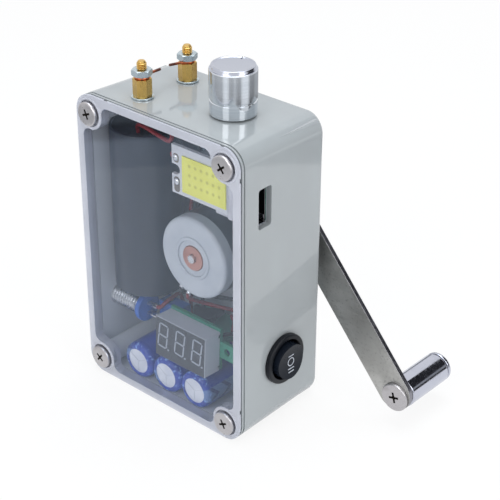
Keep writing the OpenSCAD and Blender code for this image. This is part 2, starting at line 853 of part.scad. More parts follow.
module motor_end_cap() {
  color("#aeb6bc") difference() {
    turned_y(motor_at, motor_y) polygon([
      [0, 0], [ring_r - ring_w, 0], [ring_r - ring_w, -ring_h], [ring_r, -ring_h],
      [ring_r + ring_h, 0], [motor_r - cap_round, 0], [motor_r - cap_round * (1 - sin(45)),
      cap_round * (1 - cos(45))], [motor_r, cap_round], [motor_r, end_cap_l], [0, end_cap_l]
    ]);
    rod_y(motor_at, motor_y - cut, motor_y + end_cap_l / 2, motor_bush_r);
    rod_y(motor_at, motor_y - cut, motor_y + end_cap_l + cut, motor_bush_back_r);
    for (a = lug_angles) motor_lug_space(a, seat_gap);
  }
}

module motor_lug_space(a, gap) {
  translate([motor_at[0], 0, motor_at[1]]) rotate([0, -a, 0])
    translate([motor_r - lug_l, motor_y + end_cap_l / 2 - gap, -lug_w / 2 - gap])
      cube([lug_l * 2, lug_t + 2 * gap, lug_w + 2 * gap]);
}

module motor_terminals() {
  color("#c4c7c9") for (a = lug_angles) difference() {
    motor_lug_space(a, 0);
    translate([motor_at[0], 0, motor_at[1]]) rotate([0, -a, 0])
      translate([motor_r + lug_l / 2, motor_y, 0]) rotate([-90, 0, 0])
        cylinder(h = end_cap_l, r = lug_w / 4);
  }
}

module motor_can() {
  color("#54585c") difference() {
    rod_y(motor_at, motor_y + end_cap_l, plate_y, motor_r);
    rod_y(motor_at, motor_y + end_cap_l - cut, plate_y - can_t, motor_r - can_t);
    rod_y(motor_at, plate_y - can_t - cut, plate_y + cut, motor_shaft_r + 2 * run_gap);
  }
}

module motor_magnets() {
  magnet_r = motor_r - can_t - slice_t;
  color("#3a3a3c") slab(core_y, core_y + core_l) translate(motor_at) difference() {
    circle(magnet_r);
    circle(magnet_r - magnet_t);
    for (sy = [-1, 1]) translate([-motor_r, sy * motor_r - core_r / 2]) square([2 * motor_r, core_r]);
  }
}

module motor_bush() {
  color("#b9785c") difference() {
    union() {
      rod_y(motor_at, motor_y - ring_h / 2, motor_y + end_cap_l / 2, motor_bush_r - slice_t);
      rod_y(motor_at, motor_y, motor_y + end_cap_l, motor_bush_back_r - slice_t);
    }
    rod_y(motor_at, motor_y - cut, motor_y + end_cap_l + cut, motor_shaft_r + run_gap);
  }
}

module motor_shaft() {
  color("#c3c6c8") rod_y(motor_at, shaft_end_y, small_y - seat_gap, motor_shaft_r);
}

module motor_core() {
  color("#7a4a32") slab(core_y, core_y + core_l) translate(motor_at) difference() {
    circle(core_r);
    circle(motor_shaft_r + slice_t);
    for (a = [0:120:240]) rotate(a) translate([core_r - 2 * can_t, -can_t]) square([core_r, 2 * can_t]);
  }
}

module motor_pinion() {
  turn = heading(idler_at, motor_at) + 180 + 180 / pinion_teeth;
  color("#c2a35a") difference() {
    gear(motor_at, plate_back_y + seat_gap, small_y, pinion_teeth, turn);
    rod_y(motor_at, plate_y, small_y + cut, motor_shaft_r + slice_t);
  }
}

// Gear train

module gear_plate() {
  x0 = pillar_xs[0] - plate_margin;
  z0 = pillar_zs[0] - plate_margin;
  w = pillar_xs[1] - pillar_xs[0] + 2 * plate_margin;
  h = pillar_zs[1] - pillar_zs[0] + 2 * plate_margin;
  color("#8f9497") difference() {
    slab(plate_y, plate_back_y) translate([x0 + w / 2, z0 + h / 2]) round_rect(w, h, plate_margin);
    rod_y(motor_at, plate_y - cut, plate_back_y + cut, hub_r);
    rod_y(crank_at, plate_y + rest_hole_t, plate_back_y + cut, shaft_r + run_gap);
    rod_y(idler_at, plate_y + rest_hole_t, plate_back_y + cut, pin_r + slice_t);
    for (x = pillar_xs, z = pillar_zs)
      rod_y([x, z], plate_y - cut, plate_back_y + cut, plate_screw_r + hole_gap);
  }
}

module gear_plate_screws() {
  color("#b4b7b9") for (x = pillar_xs, z = pillar_zs) difference() {
    union() {
      rod_y([x, z], plate_y - plate_screw_head_t, plate_y, plate_screw_head_r);
      rod_y([x, z], plate_y - slice_t, plate_y + plate_screw_l, plate_screw_r);
    }
    translate([x - plate_screw_r / 4, plate_y - plate_screw_head_t - cut, z - plate_screw_r])
      cube([plate_screw_r / 2, plate_screw_head_t / 2 + cut, 2 * plate_screw_r]);
  }
}

module idler_pin() {
  color("#c3c6c8") rod_y(idler_at, plate_y + rest_hole_t, back_in + pin_sink - hole_gap, pin_r);
}

module idler_gear() {
  color("#d8cfa8") difference() {
    union() {
      gear(idler_at, large_y, small_y, idler_large_teeth, heading(idler_at, motor_at));
      gear(idler_at, small_y - slice_t, idler_end_y, idler_small_teeth,
        heading(crank_at, idler_at) + 180 + 180 / idler_small_teeth);
    }
    rod_y(idler_at, large_y - cut, idler_end_y + cut, pin_r + run_gap);
  }
}

module crank_gear() {
  color("#dcdcd6") difference() {
    union() {
      gear(crank_at, crank_gear_y, crank_gear_end_y, crank_teeth, heading(crank_at, idler_at));
      rod_y(crank_at, crank_gear_end_y - slice_t, hub_end_y, hub_r);
    }
    rod_y(crank_at, crank_gear_y - cut, hub_end_y + cut, shaft_r + slice_t);
  }
}

module crank_shaft() {
  color("#b9bcbe") difference() {
    union() {
      rod_y(crank_at, plate_y + rest_hole_t + hole_gap, arm_y, shaft_r);
      translate([crank_at[0], 0, crank_at[1]]) rotate([0, -crank_angle, 0])
        block([-square_w / 2, arm_y - slice_t, -square_w / 2],
          [square_w, arm_t - hole_gap + slice_t, square_w]);
    }
    rod_y(crank_at, arm_back_y - crank_screw_l - free_gap, arm_back_y + cut, crank_screw_r + run_gap);
  }
}

module crank_bush() {
  color("#b08d4c") difference() {
    union() {
      rod_y(crank_at, wall_boss_y + seat_gap, back_y + slice_t, bush_r);
      rod_y(crank_at, back_y, back_y + flange_t, flange_r);
    }
    rod_y(crank_at, wall_boss_y - cut, back_y + flange_t + cut, shaft_r + run_gap);
  }
}

// Crank and handle

module crank_arm() {
  color("#8e9090") difference() {
    translate([crank_at[0], 0, crank_at[1]]) rotate([0, -crank_angle, 0]) slab(arm_y, arm_back_y)
      difference() {
        union() {
          circle(arm_w / 2);
          translate([crank_len - arm_tip_back, 0]) circle(arm_w / 2);
          translate([0, -arm_w / 2]) square([crank_len - arm_tip_back, arm_w]);
        }
        square(square_w + 2 * run_gap, center = true);
      }
    rod_y(handle_at, arm_y - cut, arm_back_y + cut, handle_screw_r + hole_gap);
  }
}

module crank_screw() {
  color("#c2c0bb") difference() {
    union() {
      rod_y(crank_at, arm_back_y, arm_back_y + crank_screw_head_t, crank_screw_head_r);
      rod_y(crank_at, arm_back_y - crank_screw_l, arm_back_y + slice_t, crank_screw_r);
    }
    translate([0, arm_back_y + crank_screw_head_t - cross_d, 0]) cross_cut(crank_at, cut, cross_d);
  }
}

module handle_screw() {
  color("#cbc7c0") difference() {
    union() {
      rod_y(handle_at, arm_y - handle_screw_head_t, arm_y, handle_screw_head_r);
      rod_y(handle_at, arm_y - slice_t, arm_y + handle_screw_l, handle_screw_r);
    }
    cross_cut(handle_at, arm_y - handle_screw_head_t, cross_d);
  }
}

module handle_spindle() {
  edge = grip_edge / 2;
  flange_y = grip_end_y + free_gap - arm_back_y;
  end_y = spindle_end_y - arm_back_y;
  color("#d0d2d6") difference() {
    turned_y(handle_at, arm_back_y) polygon([
      [0, 0], [spindle_r, 0], [spindle_r, flange_y], [spindle_flange_r, flange_y],
      [spindle_flange_r, end_y - edge], [spindle_flange_r - edge, end_y], [0, end_y]
    ]);
    rod_y(handle_at, arm_back_y - cut, arm_y + handle_screw_l + free_gap, handle_screw_r + run_gap);
  }
}

module handle_grip() {
  color("#d7d9de") turned_y(handle_at, grip_start_y) polygon([
    [spindle_r + run_gap, 0], [grip_neck_r, 0], [grip_neck_r, grip_neck_l],
    [grip_r - grip_edge, grip_neck_l], [grip_r, grip_neck_l + grip_edge],
    [grip_r, grip_l - grip_edge], [grip_r - grip_edge, grip_l], [spindle_r + run_gap, grip_l]
  ]);
}

// Socket in the right wall, on its own upright board

module socket_shell() {
  color("#c0c3c5") translate([socket_end_x - socket_l, socket_at[0], socket_at[1]]) difference() {
    translate([0, -socket_t / 2, -socket_w / 2]) cube([socket_l, socket_t, socket_w]);
    translate([socket_wall, -socket_t / 2 + socket_wall, -socket_w / 2 + socket_wall])
      cube([socket_l, socket_t - 2 * socket_wall, socket_w - 2 * socket_wall]);
  }
}

module socket_tongue() {
  x0 = socket_end_x - socket_l + socket_wall;
  color("#2a2b2d") translate([x0, socket_at[0] + socket_t / 2 - socket_wall - tongue_t,
    socket_at[1] - tongue_w / 2]) cube([socket_end_x - tongue_back - x0, tongue_t, tongue_w]);
}

module socket_board() {
  y0 = socket_at[0] + socket_t / 2;
  color("#2f6b4c") block([right_in - seat_gap - socket_board_l, y0, socket_at[1] - socket_board_w / 2],
    [socket_board_l, board_t, socket_board_w]);
}

// Round rocker switch in the right wall

pivot_x = switch_wall_x - pivot_back;

module switch_bezel() {
  face_x = switch_wall_x + bezel_t;
  color("#1f2022") difference() {
    union() {
      translate([switch_wall_x, switch_at[0], switch_at[1]]) rotate([0, 90, 0]) rotate_extrude()
        polygon([[0, 0], [bezel_r, 0], [bezel_r, bezel_t - bezel_edge], [bezel_r - bezel_edge, bezel_t],
          [0, bezel_t]]);
      rod_x(switch_at, switch_wall_x - switch_body_l, switch_wall_x + slice_t, switch_body_r);
    }
    rod_x(switch_at, switch_wall_x - well_back, face_x + cut, well_r);
    translate([pivot_x, switch_at[0] - pivot_l - run_gap, switch_at[1]]) rotate([-90, 0, 0])
      cylinder(h = 2 * (pivot_l + run_gap), r = pivot_r + run_gap);
  }
}

module switch_rocker() {
  high = switch_wall_x + bezel_t + rocker_proud;
  x0 = pivot_x - rocker_back;
  color("#26272a") {
    intersection() {
      rod_x(switch_at, x0, high, rocker_r);
      slab(switch_at[0] - rocker_r, switch_at[0] + rocker_r) translate([0, switch_at[1]]) polygon([
        [x0, -rocker_r], [high, -rocker_r], [high - rocker_dip, -rocker_r / 4],
        [high - rocker_dip, rocker_r / 4], [high, rocker_r], [x0, rocker_r]
      ]);
    }
    translate([pivot_x, switch_at[0] - pivot_l, switch_at[1]]) rotate([-90, 0, 0])
      cylinder(h = 2 * pivot_l, r = pivot_r);
  }
}

module switch_terminals() {
  x1 = switch_wall_x - switch_body_l;
  color("#c4a862") for (k = [-1:1]) difference() {
    block([x1 - blade_l, switch_at[0] - blade_w / 2, switch_at[1] + k * blade_step - blade_t / 2],
      [blade_l, blade_w, blade_t]);
    rod_z([x1 - blade_l + blade_w / 2, switch_at[0]], switch_at[1] + k * blade_step - blade_t,
      switch_at[1] + k * blade_step + blade_t, blade_w / 4);
  }
}

// Meter: its own frame has X across, Y into the case and Z up from the bottom middle of the face

module meter_frame() {
  translate([meter_mid_x, meter_y, meter_z]) rotate([-meter_lean, 0, 0]) children();
}

module meter_case() {
  color("#9aa0a3") meter_frame() difference() {
    block([-meter_w / 2, 0, 0], [meter_w, meter_d, meter_h]);
    block([-meter_w / 2 + meter_shell, -cut, meter_shell],
      [meter_w - 2 * meter_shell, cut + meter_face_t, meter_h - 2 * meter_shell]);
  }
}

module meter_face() {
  color("#55585c") meter_frame() block([-meter_w / 2 + meter_shell, 0, meter_shell],
    [meter_w - 2 * meter_shell, meter_face_t, meter_h - 2 * meter_shell]);
}

// One bar of a digit, pointed at both ends, lying along X from 0
module bar(l) {
  w = segment_w / 2;
  translate([segment_gap, 0]) polygon([[0, 0], [w, w], [l - 2 * segment_gap - w, w],
    [l - 2 * segment_gap, 0], [l - 2 * segment_gap - w, -w], [w, -w]]);
}

module digit() {
  l = digit_h / 2 - segment_w / 2;
  w = digit_w - segment_w;
  for (k = [-1:1]) translate([-w / 2, k * l]) bar(w);
  for (sx = [-1, 1], k = [-1, 0]) translate([sx * w / 2, k * l]) rotate(90) bar(l);
  translate([digit_w / 2 + point_gap + point_r, -l]) circle(point_r, $fn = 24);
}

module meter_digits() {
  color("#b8bbbd") meter_frame() slab(-digit_t, 0) for (k = [-1:1])
    translate([k * digit_step, meter_h / 2 + digit_up]) rotate(-digit_slant) digit();
}

module meter_board() {
  y0 = meter_d;
  color("#2e7a5a") meter_frame() difference() {
    union() {
      block([-meter_w / 2, y0, meter_board_low],
        [meter_w, meter_board_t, meter_h + meter_board_up - meter_board_low]);
      block([meter_w / 2 - slice_t, y0, ear_z], [ear_l + slice_t, meter_board_t, ear_h]);
    }
    translate([meter_w / 2 + ear_l / 2, y0 - cut, ear_z + ear_h / 2]) rotate([-90, 0, 0])
      cylinder(h = meter_board_t + 2 * cut, r = ear_hole_r);
  }
}

// Capacitors, lying on the floor with their scored ends at the lid

module at_capacitors() {
  for (k = [-1:1]) translate([cap_mid_x + k * cap_step, cap_y, cap_z]) children();
}

module capacitor_cans() {
  r = cap_r - sleeve_t;
  color("#dfe1e4") at_capacitors() rotate([-90, 0, 0]) difference() {
    rotate_extrude() polygon([
      [0, -cap_round_r], [cap_face_r, -cap_round_r],
      [r - cap_round_r * (1 - cos(45)), -cap_round_r * (1 - sin(45))], [r, 0], [r, cap_l], [0, cap_l]
    ]);
    for (a = [30:120:270]) rotate(a) translate([0, -vent_w / 2, -cap_round_r - cut])
      cube([cap_face_r - vent_w, vent_w, cut + vent_d]);
  }
}

module capacitor_sleeves() {
  r = cap_r - sleeve_t;
  mid = 1 - cos(45);
  color("#2c4fb0") at_capacitors() rotate([-90, 0, 0]) rotate_extrude() polygon([
    [cap_face_r, -cap_round_r], [cap_face_r, -cap_round_r - sleeve_t],
    [cap_r - cap_round_r * mid, -cap_round_r * mid - sleeve_t], [cap_r, 0], [cap_r, cap_l],
    [r, cap_l], [r, 0], [r - cap_round_r * mid, -cap_round_r * mid]
  ]);
}

// Push button in the left wall

button_tip_x = left_in + button_barrel_l;
button_out_x = -case_w / 2 - button_out;

module button_bush() {
  color("#c9b98c") difference() {
    rod_x(button_at, button_out_x, button_tip_x, button_r);
    rod_x(button_at, button_out_x - cut, button_out_x + button_bore_l, button_cap_r + run_gap);
  }
}

module button_nut() {
  color("#b5b8bb") translate([-case_w / 2 - button_nut_t, button_at[0], button_at[1]])
    rotate([0, 90, 0]) difference() {
      linear_extrude(button_nut_t) hex(button_nut_w);
      translate([0, 0, -cut]) cylinder(h = button_nut_t + 2 * cut, r = button_r + run_gap);
    }
}

module button_cap() {
  x1 = button_out_x + button_bore_l - button_stroke - free_gap;
  color("#b3262b") translate([button_out_x - button_cap_out, button_at[0], button_at[1]])
    rotate([0, 90, 0]) rotate_extrude() polygon([
      [0, 0], [button_cap_r - bezel_edge, 0], [button_cap_r, bezel_edge],
      [button_cap_r, x1 - button_out_x + button_cap_out], [0, x1 - button_out_x + button_cap_out]
    ]);
}

module button_body() {
  color("#2d63b4") rod_x(button_at, button_tip_x, button_tip_x + button_body_l, button_body_r);
}

module button_lugs() {
  x0 = button_tip_x + button_body_l;
  color("#c8cacb") for (s = [-1, 1]) difference() {
    block([x0, button_at[0] - button_lug_w / 2, button_at[1] + s * button_lug_step / 2 - button_lug_t / 2],
      [button_lug_l, button_lug_w, button_lug_t]);
    rod_z([x0 + button_lug_l - button_lug_w / 2, button_at[0]],
      button_at[1] + s * button_lug_step / 2 - button_lug_t,
      button_at[1] + s * button_lug_step / 2 + button_lug_t, button_lug_w / 4);
  }
}

// Converter behind the meter

module converter_board() {
  color("#27563f") block([conv_x, conv_y, conv_z], [conv_w, conv_d, board_t]);
}

module converter_parts() {
  z0 = conv_z + board_t;
  color("#2b2c2e") {
    rod_z([conv_x + conv_w / 2, conv_y + conv_d / 2], z0, z0 + coil_h, coil_r);
    for (k = chip_shares) block([conv_x + k[0] * conv_w, conv_y + k[1] * conv_d, z0], chip);
  }
}

module trimmer() {
  color("#2d6fc0") difference() {
    low = [conv_x + trimmer_off[0], conv_y + trimmer_off[1], conv_z + board_t];
    top_z = low[2] + trimmer_size[2];
    block(low, trimmer_size);
    rod_z([low[0], low[1]] + [trimmer_size[1], trimmer_size[1]] / 2, top_z - cross_w, top_z + cut, cross_w);
  }
}

module red_wires() {
  color("#9c2a30") for (route = red_routes) lead(route, lead_r);
}

module black_wires() {
  color("#2a2a2c") for (route = black_routes) lead(route, lead_r);
}

housing();
seal();
lid();
lid_screws();
post_washers();
post_standoffs();
post_studs();
post_nuts();
spark_electrodes();
knob();
dimmer_shaft();
dimmer_body();
dimmer_nut();
arc_module();
arc_leads();
lamp_board();
lamp_phosphor();
lamp_tape();
motor_end_cap();
motor_can();
motor_bush();
motor_magnets();
motor_terminals();
motor_shaft();
motor_core();
motor_pinion();
gear_plate();
gear_plate_screws();
idler_pin();
idler_gear();
crank_gear();
crank_shaft();
crank_bush();
crank_arm();
crank_screw();
handle_screw();
handle_spindle();
handle_grip();
socket_shell();
socket_tongue();
socket_board();
switch_bezel();
switch_rocker();
switch_terminals();
meter_case();
meter_face();
meter_digits();
meter_board();
capacitor_cans();
capacitor_sleeves();
button_bush();
button_body();
button_nut();
button_cap();
button_lugs();
converter_board();
converter_parts();
trimmer();
red_wires();
black_wires();
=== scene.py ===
"""Hand crank generator: the looks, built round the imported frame.

Shapes are worked in millimetres in the frame's axes and made metres when a piece is finished:
X across the case, Y from the clear lid at -Y to the crank at +Y, Z up from the case's underside.
"""

import math

import bmesh
import bpy
from mathutils import Matrix, Vector


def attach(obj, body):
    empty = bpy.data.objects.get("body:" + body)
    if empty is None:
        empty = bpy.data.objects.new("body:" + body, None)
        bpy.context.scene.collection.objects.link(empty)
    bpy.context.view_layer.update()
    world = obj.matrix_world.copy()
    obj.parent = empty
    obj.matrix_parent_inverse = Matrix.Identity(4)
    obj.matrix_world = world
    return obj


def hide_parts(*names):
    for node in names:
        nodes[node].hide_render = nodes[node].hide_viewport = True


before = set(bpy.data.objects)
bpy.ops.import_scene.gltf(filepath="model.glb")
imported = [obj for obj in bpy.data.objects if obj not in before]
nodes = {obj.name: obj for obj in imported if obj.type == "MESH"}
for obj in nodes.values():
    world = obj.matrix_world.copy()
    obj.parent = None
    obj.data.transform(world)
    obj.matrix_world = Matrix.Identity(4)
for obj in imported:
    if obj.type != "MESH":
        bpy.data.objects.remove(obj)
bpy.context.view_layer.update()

# Places that more than one piece goes by. A post's last number is the height that it stands on

MM = 0.001
CASE_W, CASE_H, FRONT_Z = 66, 98, 19
SCREWS = [(sx * 27.3, z) for sx in (-1, 1) for z in (5.95, 92.05)]
POSTS = [(-14.3, -9.3, 97.934), (-14.3, 9.7, 97.434)]
CRANK_X, CRANK_Z, ARM_L, ARM_TURN = 15, 63, 70, 49
HANDLE_X = CRANK_X + ARM_L * math.cos(math.radians(ARM_TURN))
HANDLE_Z = CRANK_Z - ARM_L * math.sin(math.radians(ARM_TURN))
IDLER_X, IDLER_Z = -1.463, 61.896
MOTOR_X, MOTOR_Z = 8.2, 53.2
KNOB_X, KNOB_Y = 13.2, 0.2
SOCKET_Y, SOCKET_Z = -8, 77.2
SWITCH_Y, SWITCH_Z = 0.9, 22.2
BUTTON_Y, BUTTON_Z = -7.5, 23.6

# Turns that point a shape's own Z axis at a side of the case

UPRIGHT = Matrix.Identity(4)
TO_LID = Matrix.Rotation(math.radians(90), 4, "X")
TO_BACK = Matrix.Rotation(math.radians(-90), 4, "X")
TO_RIGHT = Matrix.Rotation(math.radians(90), 4, "Y")
TO_LEFT = Matrix.Rotation(math.radians(-90), 4, "Y")


def at(x, y, z, turn=UPRIGHT):
    return Matrix.Translation((x, y, z)) @ turn


def spun(degrees):
    return Matrix.Rotation(math.radians(degrees), 4, "Z")


# Shapes

def linked(item):
    bpy.context.scene.collection.objects.link(item)
    return item


def cleaned(part):
    bmesh.ops.remove_doubles(part, verts=part.verts, dist=0.0005)
    bmesh.ops.dissolve_degenerate(part, edges=part.edges, dist=0.0005)
    bmesh.ops.recalc_face_normals(part, faces=part.faces)
    return part


def placed(part, matrix):
    bmesh.ops.transform(part, matrix=matrix, verts=part.verts)
    return part


def painted(part, index):
    for face in part.faces:
        face.material_index = index
    return part


def joined(*parts):
    whole = bmesh.new()
    for part in parts:
        mesh = bpy.data.meshes.new("part")
        part.to_mesh(mesh)
        part.free()
        whole.from_mesh(mesh)
        bpy.data.meshes.remove(mesh)
    return whole


def turned(outline, steps=64, ring=False):
    """An outline of (radius, height) points spun round Z. A ring's outline is closed."""
    part = bmesh.new()
    points = [part.verts.new((radius, 0, height)) for radius, height in outline]
    line = [part.edges.new(pair) for pair in zip(points, points[1:])]
    if ring:
        line.append(part.edges.new((points[-1], points[0])))
    bmesh.ops.spin(part, geom=points + line, cent=(0, 0, 0), axis=(0, 0, 1), angle=2 * math.pi,
                   steps=steps, use_merge=True)
    return cleaned(part)


def disc(radius, sides=48):
    part = bmesh.new()
    bmesh.ops.create_circle(part, cap_ends=True, segments=sides, radius=radius)
    return part


def hexagon(flats):
    return disc(flats / 2 / math.cos(math.radians(30)), 6)


def plate(width, height, radius, steps=10):
    """A flat rectangle with round corners, centred on the origin."""
    part = bmesh.new()
    bmesh.ops.create_grid(part, x_segments=1, y_segments=1, size=0.5)
    bmesh.ops.scale(part, verts=part.verts, vec=(width, height, 1))
    bmesh.ops.bevel(part, geom=part.verts[:], offset=radius, offset_type="OFFSET", segments=steps,
                    profile=0.5, affect="VERTICES", material=-1)
    return part


def flat(outline):
    part = bmesh.new()
    part.faces.new([part.verts.new((x, y, 0)) for x, y in outline])
    return part


def raised(part, height, low=0):
    """Gives a flat shape its thickness, from low along Z."""
    grown = bmesh.ops.extrude_face_region(part, geom=part.faces[:], use_keep_orig=True)["geom"]
    top = [g for g in grown if isinstance(g, bmesh.types.BMVert)]
    bmesh.ops.translate(part, verts=top, vec=(0, 0, height))
    bmesh.ops.translate(part, verts=part.verts, vec=(0, 0, low))
    return cleaned(part)


def block(low, high, round_by=0, steps=2):
    part = bmesh.new()
    bmesh.ops.create_cube(part, size=1)
    size = Vector(high) - Vector(low)
    bmesh.ops.scale(part, verts=part.verts, vec=size)
    bmesh.ops.translate(part, verts=part.verts, vec=Vector(low) + size / 2)
    if round_by:
        bmesh.ops.bevel(part, geom=part.edges[:], offset=round_by, offset_type="OFFSET", segments=steps,
                        profile=0.5, affect="EDGES", material=-1)
    return part


def rod(radius, low, high, sides=48):
    return raised(disc(radius, sides), high - low, low)


def peg(radius, low, high, x, y, sides=48):
    return placed(rod(radius, low, high, sides), at(x, y, 0))


def blob(radius, squash, sides=20):
    part = bmesh.new()
    bmesh.ops.create_uvsphere(part, u_segments=sides, v_segments=sides // 2, radius=radius)
    bmesh.ops.scale(part, verts=part.verts, vec=squash)
    return part


def carved(part, tool, operation="DIFFERENCE"):
    """Cuts one closed shape with another, joins them or keeps what they share."""
    made = []
    for shape, name in ((part, "carved"), (tool, "tool")):
        mesh = bpy.data.meshes.new(name)
        shape.to_mesh(mesh)
        shape.free()
        made.append(linked(bpy.data.objects.new(name, mesh)))
    cut = made[0].modifiers.new("cut", "BOOLEAN")
    cut.operation, cut.solver, cut.object, cut.use_self = operation, "EXACT", made[1], True
    result = made[0].evaluated_get(bpy.context.evaluated_depsgraph_get())
    whole = bmesh.new()
    whole.from_mesh(result.to_mesh())
    result.to_mesh_clear()
    for item in made:
        mesh = item.data
        bpy.data.objects.remove(item)
        bpy.data.meshes.remove(mesh)
    return whole


def arc(x, y, radius, start, end, steps=8):
    """Points on a circle from one angle to another, in degrees."""
    turns = [math.radians(start + (end - start) * k / steps) for k in range(steps + 1)]
    return [(x + radius * math.cos(a), y + radius * math.sin(a)) for a in turns]


def thread(radius, depth, pitch, low, high):
    """An outline of thread ridges from low to high, as rings."""
    count = int((high - low) / pitch)
    outline = []
    for k in range(count):
        start = low + k * pitch
        outline += [(radius - depth, start), (radius, start + 0.38 * pitch), (radius, start + 0.62 * pitch)]
    return outline + [(radius - depth, low + count * pitch)]


def cross_recess(length, width, depth):
    """The tapered cross of a screwdriver's slot, with its mouth at Z 0."""
    foot_length, foot_width = 0.42, 0.6
    bars = []
    for degrees in (0, 90):
        bar = block((-length / 2, -width / 2, -depth), (length / 2, width / 2, 0.3))
        for corner in bar.verts:
            if corner.co.z < 0:
                corner.co.x *= foot_length
                corner.co.y *= foot_width
        bars.append(placed(bar, spun(degrees)))
    return joined(bars[0], bars[1], turned([(0, -depth * 1.15), (width * 0.8, -depth * 0.5),
                                            (width * 0.8, 0.3), (0, 0.3)], 24))


def screw_head(radius, thick, cross, turn=0):
    """A low pan head standing on Z 0, with its cross."""
    head = turned([
        (0, thick), (radius * 0.86, thick), (radius * 0.93, thick * 0.94), (radius * 0.975, thick * 0.82),
        (radius, thick * 0.6), (radius, thick * 0.3), (radius * 0.985, 0.06), (radius * 0.96, 0), (0, 0)], 72)
    recess = cross_recess(cross, cross * 0.2, min(0.95, thick * 0.82))
    head = carved(head, placed(recess, at(0, 0, thick) @ spun(turn)))
    for face in head.faces:
        middle = face.calc_center_median()
        near = math.hypot(middle.x, middle.y) < cross * 0.53
        face.material_index = int(near and 0.02 < middle.z < thick - 0.03)
    return head


def piece(name, part, body, finishes, stands_for=(), edge=0, sharp=32, levels=2):
    """Finishes a shape as an object that rides on a body, with an optional soft edge in millimetres."""
    cleaned(part)
    bmesh.ops.scale(part, verts=part.verts, vec=(MM, MM, MM))
    mesh = bpy.data.meshes.new(name)
    part.to_mesh(mesh)
    part.free()
    for finish in finishes if isinstance(finishes, (list, tuple)) else [finishes]:
        mesh.materials.append(finish)
    mesh.polygons.foreach_set("use_smooth", [True] * len(mesh.polygons))
    mesh.set_sharp_from_angle(angle=math.radians(sharp))
    item = linked(bpy.data.objects.new(name, mesh))
    if edge:
        soft = item.modifiers.new("soft_edges", "BEVEL")
        soft.width, soft.segments = edge * MM, levels
        soft.limit_method, soft.angle_limit = "ANGLE", math.radians(sharp)
    even = item.modifiers.new("even_shading", "WEIGHTED_NORMAL")
    even.keep_sharp = True
    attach(item, body)
    if stands_for:
        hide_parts(*stands_for)
    return item


def rounded_route(route):
    """Cuts a route's corners once, with both ends kept."""
    points = [Vector(p) for p in route]
    last = len(points) - 2
    cut = [points[0]]
    for k in range(len(points) - 1):
        a, b = points[k], points[k + 1]
        cut.append((a + b) / 2 if k == 0 else a.lerp(b, 0.25))
        cut.append((a + b) / 2 if k == last else a.lerp(b, 0.75))
    return cut + [points[-1]]


def leads(name, routes, radius, body, finish, stands_for, rounds=3):
    """Round wires along their routes, made one mesh."""
    curve = bpy.data.curves.new(name, "CURVE")
    curve.dimensions, curve.bevel_depth, curve.bevel_resolution = "3D", radius, 4
    curve.use_fill_caps = True
    for route in routes:
        for _ in range(rounds):
            route = rounded_route(route)
        line = curve.splines.new("POLY")
        line.points.add(len(route) - 1)
        for point, place in zip(line.points, route):
            point.co = (*place, 1)
    drawn = linked(bpy.data.objects.new(name + "_line", curve))
    solid = drawn.evaluated_get(bpy.context.evaluated_depsgraph_get())
    part = bmesh.new()
    part.from_mesh(solid.to_mesh())
    solid.to_mesh_clear()
    bpy.data.objects.remove(drawn)
    bpy.data.curves.remove(curve)
    return piece(name, part, body, finish, stands_for, sharp=50)


# Materials

def sum_of(operation, swapped=False):
    """Makes a method that adds one Math node: of a socket alone, or of a socket and another value."""

    def worked_out(self, other=0.0):
        first, second = (other, self) if swapped else (self, other)
        return self.finish.node("ShaderNodeMath", {"operation": operation}, {0: first, 1: second})

    return worked_out


class Socket:
    """A shader socket that can be used in sums."""

    def __init__(self, finish, out):
        self.finish, self.out = finish, out

    __add__, __radd__ = sum_of("ADD"), sum_of("ADD", swapped=True)
    __sub__, __rsub__ = sum_of("SUBTRACT"), sum_of("SUBTRACT", swapped=True)
    __mul__, __rmul__ = sum_of("MULTIPLY"), sum_of("MULTIPLY", swapped=True)
    __truediv__, __pow__ = sum_of("DIVIDE"), sum_of("POWER")
    sine, size, folded = sum_of("SINE"), sum_of("ABSOLUTE"), sum_of("PINGPONG")
    least, most, angle = sum_of("MINIMUM"), sum_of("MAXIMUM"), sum_of("ARCTAN2")

    def wrapped(self, pitch):
        """The distance to the nearest multiple of a pitch."""
        return self.folded(pitch / 2)

    def wave(self, pitch):
        """A sine of that pitch."""
        return (self * 2 * math.pi / pitch).sine()

    def ramp(self, low=0.3, high=0.7):
        """Goes from 0 to 1 as this value goes from low to high."""
        return self.finish.node("ShaderNodeMapRange", {"clamp": True, "interpolation_type": "SMOOTHSTEP"},
                                {0: self, 1: low, 2: high, 3: 0.0, 4: 1.0})

    def span(self, low, high, soft):
        """1 between two values, with a soft step inside each."""
        return self.ramp(low, low + soft) * self.ramp(high, high - soft)


def tone(red, green, blue):
    """A screen colour from 0 to 255 as linear light."""
    return tuple((c / 255 / 12.92 if c <= 10 else ((c / 255 + 0.055) / 1.055) ** 2.4)
                 for c in (red, green, blue)) + (1,)


